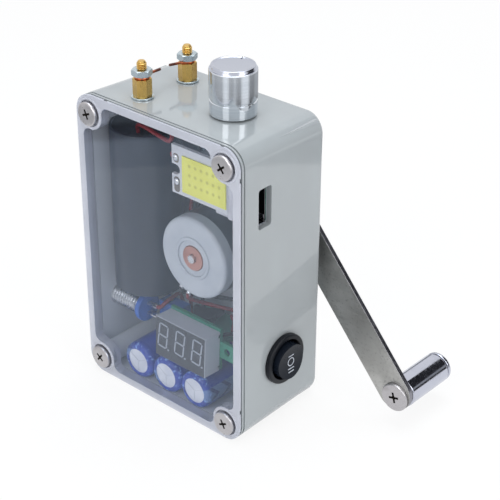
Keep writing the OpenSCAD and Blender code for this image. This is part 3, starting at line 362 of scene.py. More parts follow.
class Finish:
    """The nodes of a material, or of the world."""

    def __init__(self, name, world=False):
        self.owner = (bpy.data.worlds if world else bpy.data.materials).new(name)
        self.owner.use_nodes = True
        self.tree = self.owner.node_tree
        self.tree.nodes.clear()
        self.end = self.tree.nodes.new("ShaderNodeOutputWorld" if world else "ShaderNodeOutputMaterial")
        self.place = None if world else self.node("ShaderNodeTexCoord", out="Object")

    def node(self, kind, settings=None, inputs=None, out=0):
        made = self.tree.nodes.new(kind)
        for key, value in (settings or {}).items():
            setattr(made, key, value)
        for key, value in (inputs or {}).items():
            if isinstance(value, Socket):
                self.tree.links.new(value.out, made.inputs[key])
            else:
                made.inputs[key].default_value = value
        return Socket(self, made.outputs[out])

    def moved(self, centre=(0, 0, 0), turn=(0, 0, 0), scale=(1, 1, 1)):
        """Object coordinates from a centre in millimetres, turned and stretched."""
        shifted = self.node("ShaderNodeVectorMath", {"operation": "SUBTRACT"},
                            {0: self.place, 1: [c * MM for c in centre]})
        return self.node("ShaderNodeMapping", {}, {
            "Vector": shifted, "Rotation": [math.radians(t) for t in turn], "Scale": scale})

    def axes(self, vector=None):
        return [self.node("ShaderNodeSeparateXYZ", {}, {0: vector or self.place}, out=k) for k in range(3)]

    def noise(self, scale, detail=2.0, rough=0.5, vector=None):
        """Noise with features of about 1000 / scale millimetres."""
        return self.node("ShaderNodeTexNoise", {}, {
            "Vector": vector or self.place, "Scale": scale, "Detail": detail, "Roughness": rough})

    def blend(self, factor, first, second):
        """Goes from one colour to another. Three numbers are a screen colour, four are linear light."""
        inputs = {0: factor}
        for key, colour in ((6, first), (7, second)):
            plain = isinstance(colour, Socket) or len(colour) == 4
            inputs[key] = colour if plain else tone(*colour)
        return self.node("ShaderNodeMix", {"data_type": "RGBA"}, inputs, out=2)

    def bump(self, height, depth):
        """Relief of a height from 0 to 1, with its depth in millimetres."""
        return self.node("ShaderNodeBump", {}, {"Strength": 1.0, "Distance": depth * MM, "Height": height})

    def surface(self, share, colour, deep, gloss, relief, depth, **more):
        """A shader that goes between two colours, with its roughness and the relief of its skin."""
        inputs = {"Base Color": self.blend(share, colour, deep), "Roughness": gloss,
                  "Normal": self.bump(relief, depth)}
        inputs.update({key.replace("_", " "): value for key, value in more.items()})
        return self.node("ShaderNodeBsdfPrincipled", {}, inputs)

    def solid(self, *values, **more):
        """Ends the material with a surface of its own."""
        return self.done(self.surface(*values, **more))

    def clear(self, *colour):
        return self.node("ShaderNodeBsdfTransparent", {}, {"Color": (*colour, 1)})

    def mixed(self, share, first, second):
        """Ends the material with two shaders mixed."""
        return self.done(self.node("ShaderNodeMixShader", {}, {0: share, 1: first, 2: second}))

    def seen(self):
        """1 where a ray comes from the camera, a mirror or clear plastic."""
        camera, mirror, plastic = [self.node("ShaderNodeLightPath", out=f"Is {kind} Ray")
                                   for kind in ("Camera", "Glossy", "Transmission")]
        return camera.most(mirror).most(plastic)

    def done(self, shader):
        self.tree.links.new(shader.out, self.end.inputs["Surface"])
        return self.owner


def moulded(name, colour, deep, gloss=0.35, grain=0.004, grain_scale=2600, ior=1.5):
    """Moulded plastic: two close tones in slow clouds, a fine skin and gloss that wanders a little."""
    f = Finish(name)
    cloud = f.noise(70, 3)
    skin = f.noise(grain_scale)
    rubbed = f.noise(240, 4, 0.6)
    return f.solid(cloud.ramp(0.35, 0.65), colour, deep, gloss - 0.04 + 0.08 * rubbed.ramp(),
                   skin * 0.7 + rubbed * 0.3, grain, IOR=ior)


def worn_metal(name, colour, dark, gloss=0.28, scratch=0.004, spots=0.0, stretch=(1, 1, 1)):
    """Metal with fine marks drawn out along one way, faint stains and a little wear."""
    f = Finish(name)
    lines = f.noise(900, 4, 0.65, f.moved(scale=stretch))
    stain = f.noise(150, 4, 0.6)
    fleck = f.noise(2200, 1)
    dull = stain.ramp(0.5, 0.72) * 0.5 + fleck.ramp(0.62, 0.75) * spots
    return f.solid(dull.least(1.0), colour, dark, gloss + 0.12 * lines.ramp(0.35) + 0.08 * stain.ramp(0.4),
                   lines, scratch, Metallic=1.0)


def case_plastic():
    """Glossy grey case plastic with a faint flow of tone; its faces inside the case are painted paler, as
    painted light.
    """
    f = Finish("case_plastic")
    flow = f.noise(38, 3, 0.5, f.moved(scale=(1, 1, 0.6)))
    skin = f.noise(3200)
    wave = f.noise(55)
    dust = f.noise(900, 5, 0.7)
    x, y, z = f.axes()
    side, floor_z, roof_z, back, soft = 0.0311, 0.0021, 0.0958, 0.0172, 0.0003
    # Painted light: the faces inside the case get a paler colour, standing for the front light that falls in
    # through the lid.
    inside = x.size().ramp(side, side - soft) * z.span(floor_z, roof_z, soft) * y.ramp(back, back - soft)
    outer = f.blend(flow.ramp(0.35, 0.65), (163, 168, 171), (167, 173, 176))
    return f.solid(dust.ramp(0.66, 0.8) * 0.35, f.blend(inside, outer, (200, 204, 211)), (150, 156, 160),
                   0.06 + 0.04 * dust.ramp(0.4), skin * 0.35 + wave * 4.0, 0.003, IOR=1.5)


def lid_wall_plastic():
    """The lid's thick rim: clear plastic that scatters light along itself, so that it looks pale lavender."""
    f = Finish("lid_wall_plastic")
    flow = f.noise(60)
    fine = f.noise(900, 3)
    body = f.surface(flow.ramp(), (200, 203, 214), (208, 211, 222), 0.1 + 0.05 * fine.ramp(0.4),
                     flow, 0.01, IOR=1.49)
    return f.mixed(0.22, body, f.clear(0.93, 0.94, 0.98))


def lid_window_plastic():
    """Clear pane: it mirrors more at a grazing view, and carries faint wiping marks."""
    f = Finish("lid_window_plastic")
    facing = f.node("ShaderNodeLayerWeight", {}, {"Blend": 0.5}, out="Facing")
    smear = f.noise(90, 4, 0.6, f.moved(turn=(0, 35, 0), scale=(1, 1, 4)))
    mirror = f.node("ShaderNodeBsdfGlossy", {}, {"Color": (0.72, 0.84, 1.0, 1), "Roughness": 0.02})
    share = 0.05 + 0.95 * facing ** 5.0 + smear.ramp(0.5, 0.8) * 0.01
    return f.mixed(share, f.clear(0.965, 0.97, 0.985), mirror)


def turned_aluminium():
    """The knob: fine upright flutes round its grip, a smooth band below them and rings on the top."""
    f = Finish("turned_aluminium")
    x, y, z = f.axes(f.moved(centre=(KNOB_X, KNOB_Y, 0)))
    flute_count, ring_pitch, grip_low, grip_high, soft = 130, 0.00034, 0.1029, 0.1117, 0.0002
    flutes = (y.angle(x) * flute_count).sine() * 0.5 + 0.5
    rings = ((x * x + y * y) ** 0.5).wave(ring_pitch) * 0.5 + 0.5
    on_top = z.ramp(0.11165, 0.11185)
    fluted = (1 - on_top) * z.span(grip_low, grip_high, soft)
    uneven = f.noise(500, 4, 0.6, f.moved(scale=(0.05, 0.05, 6)))
    stain = f.noise(160, 3)
    return f.solid(on_top, f.blend(uneven.ramp(), (222, 226, 231), (210, 215, 221)), (186, 190, 202),
                   0.08 + 0.12 * on_top + 0.03 * fluted + 0.02 * uneven.ramp() + 0.01 * stain,
                   flutes * fluted * 1.6 + rings * on_top * 0.8 + uneven * 0.3, 0.0035, Metallic=1.0)


def copper_wire():
    """Bare copper, brown at the two tips that face each other across the gap."""
    f = Finish("copper_wire")
    x, y, z = f.axes()
    gap_y, clean, brown = 0.0002, 0.0052, 0.0036
    burnt = (y - gap_y).size().ramp(clean, brown) * 0.85 + f.noise(700, 3).ramp(0.5, 0.8) * 0.25
    return f.solid(burnt.least(1.0), (196, 112, 78), (70, 44, 42), 0.28 + 0.2 * burnt,
                   f.noise(2500, 3), 0.004, Metallic=1.0 - 0.5 * burnt.least(1.0))


def steel_arm():
    """Rolled steel strip: marks along the crank, with grey clouds and small dark nicks."""
    f = Finish("steel_arm")
    grain = f.noise(1500, 5, 0.7, f.moved(turn=(0, -ARM_TURN, 0), scale=(0.045, 1, 1)))
    cloud = f.noise(110, 4, 0.6)
    nick = f.noise(1300)
    colour = f.blend(cloud.ramp(0.35, 0.65), (184, 184, 182), (164, 164, 162))
    return f.solid(nick.ramp(0.55, 0.76) * 0.4, colour, (104, 104, 104),
                   0.36 + 0.14 * grain.ramp(0.35) + 0.06 * cloud,
                   grain + nick.ramp(0.68, 0.76) * -0.6, 0.006, Metallic=1.0)


def phosphor():
    """The lamp's yellow layer, with its chips as faint rows under it."""
    f = Finish("phosphor")
    x, y, z = f.axes()
    first_x, first_z, pitch_x, pitch_z, before = 0.0104, 0.0796, 0.00233, 0.00295, 8
    across = (x - first_x + pitch_x * before).wrapped(pitch_x)
    up = (z - first_z + pitch_z * before).wrapped(pitch_z)
    rows = x.span(0.0091, 0.0234, 0.0002) * z.span(0.0780, 0.0871, 0.0002)
    chip = (across * across + up * up) ** 0.5 + 0.002 * (1 - rows)
    speck = f.noise(3200, 3)
    base = f.blend(f.noise(160, 3).ramp(), (232, 231, 112), (224, 222, 100))
    return f.solid(chip.ramp(0.00075, 0.0003) * 0.42 + speck.ramp(0.6, 0.8) * 0.06, base, (150, 142, 52),
                   0.42 + 0.15 * speck, speck * 0.5 + chip.ramp(0.0007, 0.0002) * -0.8, 0.02, IOR=1.45)


def lamp_sheet():
    """White-faced aluminium board."""
    f = Finish("lamp_sheet")
    roll = f.noise(700, 4, 0.6, f.moved(scale=(1, 1, 12)))
    return f.solid(roll.ramp(), (212, 213, 217), (200, 202, 208), 0.3 + 0.15 * f.noise(1800), roll, 0.004,
                   Metallic=0.25)


def dark_resin():
    """Potting resin, uneven where it set."""
    f = Finish("module_resin")
    swirl = f.noise(130, 3, 0.6)
    pit = f.noise(1500)
    return f.solid(swirl.ramp(), (64, 70, 82), (46, 49, 55), 0.35 + 0.12 * pit.ramp(0.4),
                   swirl + pit * 0.3, 0.03)


def can_foil():
    """A capacitor's bare end, brushed and a little dished round its score."""
    f = Finish("can_foil")
    fine = f.noise(2200, 4, 0.6, f.moved(scale=(1, 1, 0.15)))
    return f.solid(f.noise(220).ramp(), (226, 228, 234), (210, 213, 222), 0.36 + 0.15 * fine, fine, 0.003,
                   Metallic=0.45)


def sleeve_film(name, stripe):
    """Shrunk film round a capacitor, paler where it is stretched over the end.

    Its pole stripe is paler too, with arrow shapes along it.
    """
    f = Finish(name)
    pull = f.noise(260, 3, 0.5, f.moved(scale=(1, 0.25, 1)))
    fine = f.noise(1600)
    colour = f.blend(pull.ramp(), (8, 54, 168), (6, 44, 142))
    x, y, z = f.axes()
    if stripe:
        slope, arrow_pitch = 1.1, 0.0056
        rise = (y + slope * (z - 0.0086).size() + 0.0287).wrapped(arrow_pitch)
        colour = f.blend(rise.ramp(0.001, 0.0007), (92, 120, 172), (26, 48, 120))
    stretched = f.noise(800, 3, 0.6).ramp(0.55, 0.62) * y.ramp(-0.0138, -0.0146)
    return f.solid(stretched * 0.7, colour, (140, 178, 232), 0.26 + 0.12 * fine.ramp(), pull, 0.02, IOR=1.45)


def circuit_board():
    """Solder mask over copper tracks that show as slightly raised lines."""
    f = Finish("green_board")
    x, y, z = f.axes()
    track_pitch, track_half, wander = 0.0016, 0.00022, 0.004
    track = ((x + y + z) + f.noise(260, 1) * wander).wrapped(track_pitch)
    line = track.ramp(track_half, 0.00012)
    weave = f.noise(1500)
    return f.solid(line * 0.6 + weave.ramp(0.5, 0.8) * 0.2, (50, 138, 110), (36, 108, 86),
                   0.32 + 0.1 * weave, line, 0.02, Coat_Weight=0.2)


def tape_film():
    """Beige cloth tape."""
    f = Finish("tape_film")
    x, y, z = f.axes()
    thread_pitch = 0.0005
    weft = z.wave(thread_pitch) * x.wave(thread_pitch)
    crease = f.noise(320, 3, 0.6)
    return f.solid(crease.ramp(0.35, 0.65), (204, 203, 209), (188, 187, 194), 0.62 + 0.1 * crease,
                   weft * 0.15 + crease, 0.05)


def wire_skin(name, colour, deep):
    """Soft wire insulation with scuffs."""
    f = Finish(name)
    scuff = f.noise(420, 4, 0.6)
    return f.solid(scuff.ramp(0.4), colour, deep, 0.38 + 0.16 * scuff, f.noise(1500), 0.01, IOR=1.45)


def rubber():
    """Grey rubber seal."""
    f = Finish("rubber")
    speck = f.noise(2600, 3)
    return f.solid(speck, (146, 149, 152), (130, 133, 136), 0.6 + 0.15 * speck, speck, 0.01)


def display_face():
    """The meter's dark filter film over its unlit digits."""
    f = Finish("display_face")
    fine = f.noise(3000)
    return f.solid(f.noise(240), (54, 56, 63), (47, 49, 56), 0.34 + 0.12 * fine, fine, 0.002)


def motor_nylon():
    """Pale nylon with the faint flow marks of its mould, running round its middle."""
    f = Finish("motor_nylon")
    x, y, z = f.axes(f.moved(centre=(MOTOR_X, 0, MOTOR_Z)))
    reach, ring_pitch = (x * x + z * z) ** 0.5, 0.0019
    ring = (reach * 2 * math.pi / ring_pitch + f.noise(140) * 5).sine() * 0.5 + 0.5
    return f.solid(f.noise(170, 3).ramp(), (186, 191, 197), (176, 182, 190), 0.36 + 0.1 * ring,
                   ring * 0.5 + f.noise(2200) * 0.5, 0.006)


CASE = case_plastic()
LID_WALL = lid_wall_plastic()
LID_WINDOW = lid_window_plastic()
# Painted shade: near-black paint for the faces inside the lid's small notches.
LID_NOTCH_SHADE = moulded("lid_notch_shade", (40, 41, 44), (30, 31, 34), 0.5)
RUBBER = rubber()
NICKEL = worn_metal("nickel", (186, 184, 187), (150, 146, 147), 0.26, 0.003, 0.4)
CROSS_SHADE = worn_metal("cross_shade", (46, 42, 40), (26, 24, 24), 0.5, 0.01, 0.4)
ZINC = worn_metal("zinc", (190, 203, 210), (146, 156, 160), 0.2, 0.004, 0.3)
BRASS = worn_metal("brass", (214, 178, 104), (150, 112, 58), 0.24, 0.006, 0.5, (1, 1, 0.2))
COPPER = copper_wire()
KNOB = turned_aluminium()
STEEL = worn_metal("steel", (196, 198, 201), (150, 150, 152), 0.22, 0.004, 0.2)
PRESSED = worn_metal("pressed_steel", (192, 202, 210), (150, 158, 166), 0.36, 0.005, 0.3, (0.2, 1, 1))
ARM_STEEL = steel_arm()
# Painted shade for the crank arm's edges, which stands for the dark surroundings that they mirror.
EDGE_PAINTED_SHADE = worn_metal("edge_painted_shade", (142, 142, 150), (90, 90, 96), 0.26, 0.008, 0.4, (1, 1, 0.2))
CHROME = worn_metal("chrome", (194, 197, 210), (176, 179, 192), 0.05, 0.0006)
TINNED = worn_metal("tinned", (206, 207, 212), (170, 170, 174), 0.24, 0.005, 0.2)
SHADED_TIN = worn_metal("shaded_tin", (44, 46, 50), (30, 31, 34), 0.45, 0.005, 0.2)
TUBE = moulded("module_tube", (33, 41, 56), (30, 37, 51), 0.36, 0.001, 1800)
RESIN = dark_resin()
RED_WIRE = wire_skin("red_wire", (134, 30, 38), (108, 24, 32))
BLACK_WIRE = wire_skin("black_wire", (38, 38, 41), (26, 26, 29))
LAMP_SHEET = lamp_sheet()
PHOSPHOR = phosphor()
FLUX = moulded("lamp_flux", (122, 112, 100), (88, 80, 74), 0.3, 0.01)
DAM = moulded("lamp_dam", (206, 209, 214), (192, 195, 202), 0.3, 0.006)
TAPE = tape_film()
NYLON = motor_nylon()
MOTOR_STEEL = worn_metal("motor_steel", (114, 119, 128), (88, 92, 99), 0.3, 0.005, 0.3, (1, 0.15, 1))
BRONZE = worn_metal("bronze", (190, 144, 132), (138, 98, 88), 0.36, 0.01, 0.6)
MAGNET = moulded("magnet", (58, 58, 60), (46, 46, 48), 0.5, 0.02, 900)
CORE = worn_metal("core_iron", (132, 128, 124), (96, 84, 76), 0.4, 0.01, 0.4)
GEAR = moulded("gear_nylon", (226, 223, 206), (214, 209, 188), 0.36, 0.006)
BLACK = moulded("black_plastic", (24, 27, 33), (19, 21, 26), 0.34, 0.006, 2400, ior=1.3)
ROCKER = moulded("rocker_plastic", (20, 26, 36), (16, 21, 29), 0.3, 0.004, 2600, ior=1.25)
PRINT = moulded("mark_paint", (188, 194, 204), (172, 178, 190), 0.5, 0.004, 3200)
BOARD = circuit_board()
METER = moulded("meter_plastic", (196, 200, 209), (186, 190, 200), 0.44, 0.01, 2200)
DISPLAY = display_face()
DIGITS = moulded("digit_plastic", (168, 173, 183), (156, 161, 171), 0.4, 0.003, 2800)
FOIL = can_foil()
SLEEVE = sleeve_film("sleeve_film", False)
STRIPE = sleeve_film("sleeve_stripe", True)
BLUE = moulded("blue_plastic", (34, 98, 190), (26, 84, 170), 0.3, 0.005)
RED = moulded("red_plastic", (178, 34, 40), (158, 26, 34), 0.28)
SOLDER = worn_metal("solder", (214, 216, 220), (176, 178, 182), 0.16, 0.01, 0.1)
GOLD = worn_metal("contact_gold", (224, 190, 118), (190, 150, 84), 0.22, 0.003, 0.1)

# CAD nodes that stay as they are, with better finishes

for finish, kept in (
        (RUBBER, ("seal",)),
        (STEEL, ("dimmer_shaft", "dimmer_nut", "motor_shaft", "idler_pin", "crank_shaft")),
        (TINNED, ("dimmer_body", "switch_terminals", "motor_terminals", "button_lugs")),
        (MAGNET, ("motor_magnets",)), (CORE, ("motor_core",)), (BRASS, ("motor_pinion", "crank_bush")),
        (PRESSED, ("gear_plate",)), (ZINC, ("gear_plate_screws",)), (GEAR, ("idler_gear", "crank_gear")),
        (BOARD, ("socket_board", "meter_board", "converter_board")), (DISPLAY, ("meter_face",)),
        (DIGITS, ("meter_digits",)), (BLACK, ("converter_parts",))):
    for name in kept:
        nodes[name].data.materials.clear()
        nodes[name].data.materials.append(finish)

# Housing, built facing the lid: its own Y is the case's height, and its own Z runs from the back to the lid

FLANGE_T, LIP_GAP, LIP_W, LIP_T = 0.65, 0.5, 0.65, 1.1
GROOVE_W, GROOVE_D = 0.6, 0.45
LIP_FRONT = FRONT_Z - FLANGE_T - LIP_GAP
GROOVE_FRONT = LIP_FRONT - LIP_W
GROOVE_BACK = GROOVE_FRONT - GROOVE_W
CORNER, DRAFT, BACK_ROUND = 6, 0.9, 1.8
RIM_Z, RIM_T, BACK_IN_Z = 15.2, 1.3, -16.8
IN_W, IN_LOW, IN_HIGH = 61.2, 2.3, 95.6
BOSS_R, BOSS_FOOT, BOSS_TOP = 3.7, BACK_IN_Z - 0.1, RIM_Z - 0.05


def stepped(part, face, width, low, high, depth):
    """Draws an end face out, and fits the new end to a width, a low and a high edge and a depth."""
    grown = bmesh.ops.extrude_face_region(part, geom=[face])["geom"]
    bmesh.ops.delete(part, geom=[face], context="FACES_ONLY")
    end = next(g for g in grown if isinstance(g, bmesh.types.BMFace))
    across = [v.co.x for v in end.verts]
    up = [v.co.y for v in end.verts]
    fit = (Matrix.Translation((0, low, depth))
           @ Matrix.Diagonal((width / (max(across) - min(across)), (high - low) / (max(up) - min(up)), 0, 1))
           @ Matrix.Translation((0, -min(up), 0)))
    bmesh.ops.transform(part, matrix=fit, verts=end.verts)
    return end


shell = placed(plate(CASE_W, CASE_H, CORNER, 12), at(0, CASE_H / 2, LIP_FRONT))
front = shell.faces[:][0]
start = bmesh.ops.extrude_face_region(shell, geom=[front], use_keep_orig=True)["geom"]
end = next(g for g in start if isinstance(g, bmesh.types.BMFace))
bmesh.ops.translate(shell, verts=end.verts, vec=(0, 0, -LIP_W))
groove, outside = (CASE_W - 2 * GROOVE_D, GROOVE_D, CASE_H - GROOVE_D), (CASE_W, 0, CASE_H)
for size, depth in ((groove, GROOVE_FRONT), (groove, GROOVE_BACK), (outside, GROOVE_BACK), (outside, RIM_Z)):
    end = stepped(shell, end, *size, depth)
for k in range(7):
    turn = math.radians(k * 15)
    pull = BACK_ROUND * (1 - math.cos(turn))
    end = stepped(shell, end, CASE_W - 2 * (DRAFT + pull), pull, CASE_H - DRAFT - pull,
                  -FRONT_Z + BACK_ROUND * (1 - math.sin(turn)))
bmesh.ops.inset_region(shell, faces=[front], thickness=LIP_T, use_even_offset=True)
front = stepped(shell, front, CASE_W - 2 * LIP_T, LIP_T, CASE_H - LIP_T, RIM_Z)
bmesh.ops.inset_region(shell, faces=[front], thickness=RIM_T, use_even_offset=True)
stepped(shell, front, IN_W, IN_LOW, IN_HIGH, BACK_IN_Z)
shell = cleaned(shell)

# Screw bosses that run into the corners, the gear plate's pillars, and pads for the crank and the idler

bosses = []
for x, z in SCREWS:
    out_x = x + math.copysign(BOSS_R, x)
    low_z = z - BOSS_R if z < CASE_H / 2 else z
    bosses.append(peg(BOSS_R, BOSS_FOOT, BOSS_TOP, x, z))
    bosses.append(block((min(x, out_x), low_z, BOSS_FOOT), (max(x, out_x), low_z + BOSS_R, BOSS_TOP)))
pillars = [(x, z, 2.6, -8) for x in (-6, 26.6) for z in (43.6, 79.6)]
pillars += [(CRANK_X, CRANK_Z, 6.5, -15.6), (IDLER_X, IDLER_Z, 2.6, -15.6)]
bosses += [peg(radius, BOSS_FOOT, tip, x, z) for x, z, radius, tip in pillars]
shell = carved(shell, joined(*bosses), "UNION")

# Holes for the lid's screws, the crank, the idler, the posts, the knob and what sits in the side walls

holes = [peg(1.55, 5.9, 17, x, z, 32) for x, z in SCREWS]
holes += [peg(4.55, -21, -14, CRANK_X, CRANK_Z), peg(1.05, -17.8, -14, IDLER_X, IDLER_Z, 24)]
holes += [placed(rod(1.6, 94, 99, 32), at(x, 0, -y, TO_BACK)) for x, y, z in POSTS]
holes += [placed(rod(3.6, 94, 99), at(KNOB_X, 0, -KNOB_Y, TO_BACK)),
          placed(raised(plate(5.7, 12.7, 0.9, 6), 5, 29), at(0, SOCKET_Z, -SOCKET_Y, TO_RIGHT)),
          placed(rod(7.4, 29, 34), at(0, SWITCH_Z, -SWITCH_Y, TO_RIGHT)),
          placed(rod(3.6, 29, 34), at(0, BUTTON_Z, -BUTTON_Y, TO_LEFT))]
shell = carved(shell, joined(*holes))
piece("case_shell", placed(shell, TO_LID), "case", CASE, ["housing"], 0.16, 34)

# Clear lid: a thin flange on a thick rim with bosses round its screws, and a thin window

INNER_X, INNER_HIGH, FILLET, BOSS, LID_IN = 30.4, 95.4, 2.5, 5.2, 1.4
LID_LOW, LID_DEEP = 15.7, 2.7
MARKS = [(-20.3, 98, 1.2, 1.0), (26.3, 98, 1.2, 1.0), (33, 89.5, 1.0, 1.2), (33, 12, 1.0, 1.2)]
MARK_LOW, MARK_HIGH = 18.2, 18.8


def lid_opening():
    """The rim's inner line: straight sides that swing round each screw's boss in a soft S."""
    x, z = SCREWS[3]
    side_z = z - math.sqrt((BOSS + FILLET) ** 2 - (INNER_X - FILLET - x) ** 2)
    top_x = x - math.sqrt((BOSS + FILLET) ** 2 - (INNER_HIGH - FILLET - z) ** 2)
    side_turn = math.degrees(math.atan2(side_z - z, INNER_X - FILLET - x))
    top_turn = math.degrees(math.atan2(INNER_HIGH - FILLET - z, top_x - x))
    corner = (arc(INNER_X - FILLET, side_z, FILLET, 0, side_turn + 180, 10)
              + arc(x, z, BOSS, 360 + side_turn, top_turn, 20)
              + arc(top_x, INNER_HIGH - FILLET, FILLET, top_turn - 180, 90, 10))
    upper = corner + [(-px, pz) for px, pz in reversed(corner)]
    line = upper + [(px, CASE_H - pz) for px, pz in reversed(upper)]
    return [p for p, q in zip(line, line[1:] + line[:1]) if math.dist(p, q) > 0.01]


def in_mark(point, x, z, width, height):
    """True where a face's middle lies in a mark's recess, inside the lid's outer edge."""
    return (abs(point.x - x) < width / 2 + 0.01 and abs(point.y - z) < height / 2 + 0.01
            and MARK_LOW - 0.05 < point.z < MARK_HIGH + 0.05
            and abs(point.x) < CASE_W / 2 - 0.05 and point.y < CASE_H - 0.05)


OPENING = lid_opening()
flange = placed(plate(CASE_W, CASE_H, CORNER, 12), at(0, CASE_H / 2, 0))
rim = placed(plate(CASE_W - 2 * LID_IN, CASE_H - 2 * LID_IN, CORNER - LID_IN, 12), at(0, CASE_H / 2, 0))
rim = carved(raised(flange, FLANGE_T, FRONT_Z - FLANGE_T), raised(rim, LID_DEEP, LID_LOW), "UNION")
cuts = [raised(flat(OPENING), 6, 14.5)]
cuts += [peg(4.15, 18.2, 20, x, z, 64) for x, z in SCREWS]
cuts += [peg(1.7, 14.5, 18.5, x, z, 32) for x, z in SCREWS]
cuts += [block((x - w / 2, z - h / 2, MARK_LOW), (x + w / 2, z + h / 2, MARK_HIGH)) for x, z, w, h in MARKS]
rim = carved(rim, joined(*cuts))
# The faces inside each notch are painted near-black: painted shade in the recess.
for face in rim.faces:
    middle = face.calc_center_median()
    if any(in_mark(middle, *mark) for mark in MARKS):
        face.material_index = 1
lip = [(4.12, 18.7), (4.15, 19.1), (4.3, 19.24), (4.6, 19.26), (4.85, 19.12), (4.95, 18.8)]
rim = joined(rim, *[placed(turned(lip, 72, True), at(x, z, 0)) for x, z in SCREWS])
piece("lid_rim", placed(rim, TO_LID), "case", [LID_WALL, LID_NOTCH_SHADE], ["lid"], 0.28, 34, 3)
piece("lid_window", placed(raised(flat(OPENING), 1.6, 17.4), TO_LID), "case", LID_WINDOW)

# Lid screws

screws = []
for (x, z), turn in zip(SCREWS, (52, 22, 28, 38)):
    body = turned([(0, -0.02), (3.25, -0.02), (3.25, -1.0), (1.5, -1.02)]
                  + [(r, -1.2 - h) for r, h in thread(1.5, 0.2, 0.8, 0, 11.2)]
                  + [(1.1, -12.9), (0, -12.99)], 48)
    screws.append(placed(joined(screw_head(3.85, 1.2, 3.7, turn), body), at(x, -19.2, z, TO_LID)))
piece("lid_screw_set", joined(*screws), "case", [NICKEL, CROSS_SHADE], ["lid_screws"], sharp=28)

# Spark posts, and the wires that hook round them

STUD_FOOT, STUD_THREAD, STANDOFF_UP, NUT_UP = 93.6, 96, 0.6, 6.99
WIRE_R, WIRE_UP, HOOK_R, HOOK_RISE = 0.42, 6.54, 1.97, 0.00012


def chamfered_hex(flats, height, soft, turn):
    """A hexagon with the round chamfers of a turned blank at both ends."""
    corner = flats / 2 / math.cos(math.radians(30))
    blank = turned([(0, 0), (corner - soft, 0), (corner + 0.02, soft * 0.6),
                    (corner + 0.02, height - soft * 0.6), (corner - soft, height), (0, height)], 72)
    return placed(carved(raised(hexagon(flats), height), blank, "INTERSECT"), spun(turn))


washers, standoffs, studs, nuts = [], [], [], []
for x, y, z in POSTS:
    washer = [(1.6, 0), (3.25, 0), (3.4, 0.14), (3.4, 0.46), (3.25, 0.6), (1.75, 0.6), (1.6, 0.46)]
    washers.append(placed(turned(washer, 64, True), at(x, y, z)))
    bore = rod(1.25, -0.5, 7, 32)
    standoffs.append(placed(carved(chamfered_hex(5, 5.5, 0.35, 12), bore), at(x, y, z + STANDOFF_UP)))
    bore = turned([(0, -0.5), (1.75, -0.5), (1.75, 0), (1.25, 0.4), (1.25, 1.5), (1.75, 1.9), (1.75, 2.4),
                   (0, 2.4)], 32)
    nuts.append(placed(carved(chamfered_hex(5.5, 1.9, 0.4, 22), bore), at(x, y, z + NUT_UP)))
    foot = STUD_FOOT - z
    stud = turned([(0, foot), (2.5, foot), (2.8, foot + 0.3), (2.8, foot + 2), (1.2, foot + 2)]
                  + thread(1.2, 0.06, 0.5, STUD_THREAD - z, 8.85) + thread(1.5, 0.24, 0.5, 8.9, 11.0)
                  + [(1.3, 11.1), (1.0, 11.49), (0, 11.49)], 40)
    studs.append(placed(stud, at(x, y, z)))
piece("post_washer_pair", joined(*washers), "case", ZINC, ["post_washers"])
piece("post_standoff_pair", joined(*standoffs), "case", BRASS, ["post_standoffs"], 0.04, 30)
piece("post_stud_pair", joined(*studs), "case", BRASS, ["post_studs"], sharp=40)
piece("post_nut_pair", joined(*nuts), "case", ZINC, ["post_nuts"], 0.04, 30)

wires = []
for (x, y, z), side, rise in zip(POSTS, (1, -1), (0, 0.6)):
    level = z + WIRE_UP
    hook = [(math.radians(a), level - 0.02 + HOOK_RISE * a) for a in range(330, 20, -15)]
    wire = [(x + HOOK_R * math.sin(a), y + side * HOOK_R * math.cos(a), height) for a, height in hook]
    for away, along, up in ((0.5, 2.25, 0), (0.1, 3.0, 0), (0, 4.2, rise * 0.25), (0, 7.5, rise)):
        wire.append((x + away, y + side * along, level + 0.02 + up))
    wires.append(wire)
leads("spark_wire_pair", wires, WIRE_R, "case", COPPER, ["spark_electrodes"], 1)

# Knob

knob = turned([(3.05, 11.5), (3.05, 3.3), (6.1, 3.3), (6.1, 0.15), (6.2, 0), (6.8, 0), (6.96, 0.12),
               (6.98, 0.3), (6.98, 4.15), (6.8, 4.28), (6.8, 4.62), (7.02, 4.75), (7.08, 4.9), (7.1, 13.4),
               (7.06, 13.58), (6.9, 13.66), (6.66, 13.7), (6.58, 13.82), (6.56, 14.5), (6.48, 14.7),
               (6.3, 14.8), (6.02, 14.78), (5.85, 14.62), (5.2, 14.5), (0, 14.42)], 160)
bmesh.ops.holes_fill(knob, edges=[e for e in knob.edges if e.is_boundary], sides=0)
notch = placed(block((4.9, -0.25, 14.2), (7.2, 0.25, 15.2)), spun(106))
piece("knob_turned", placed(carved(knob, notch), at(KNOB_X, KNOB_Y, 98.18)), "dimmer", KNOB, ["knob"],
      sharp=40)

# Arc module: a tube filled with resin that sinks a little at both ends

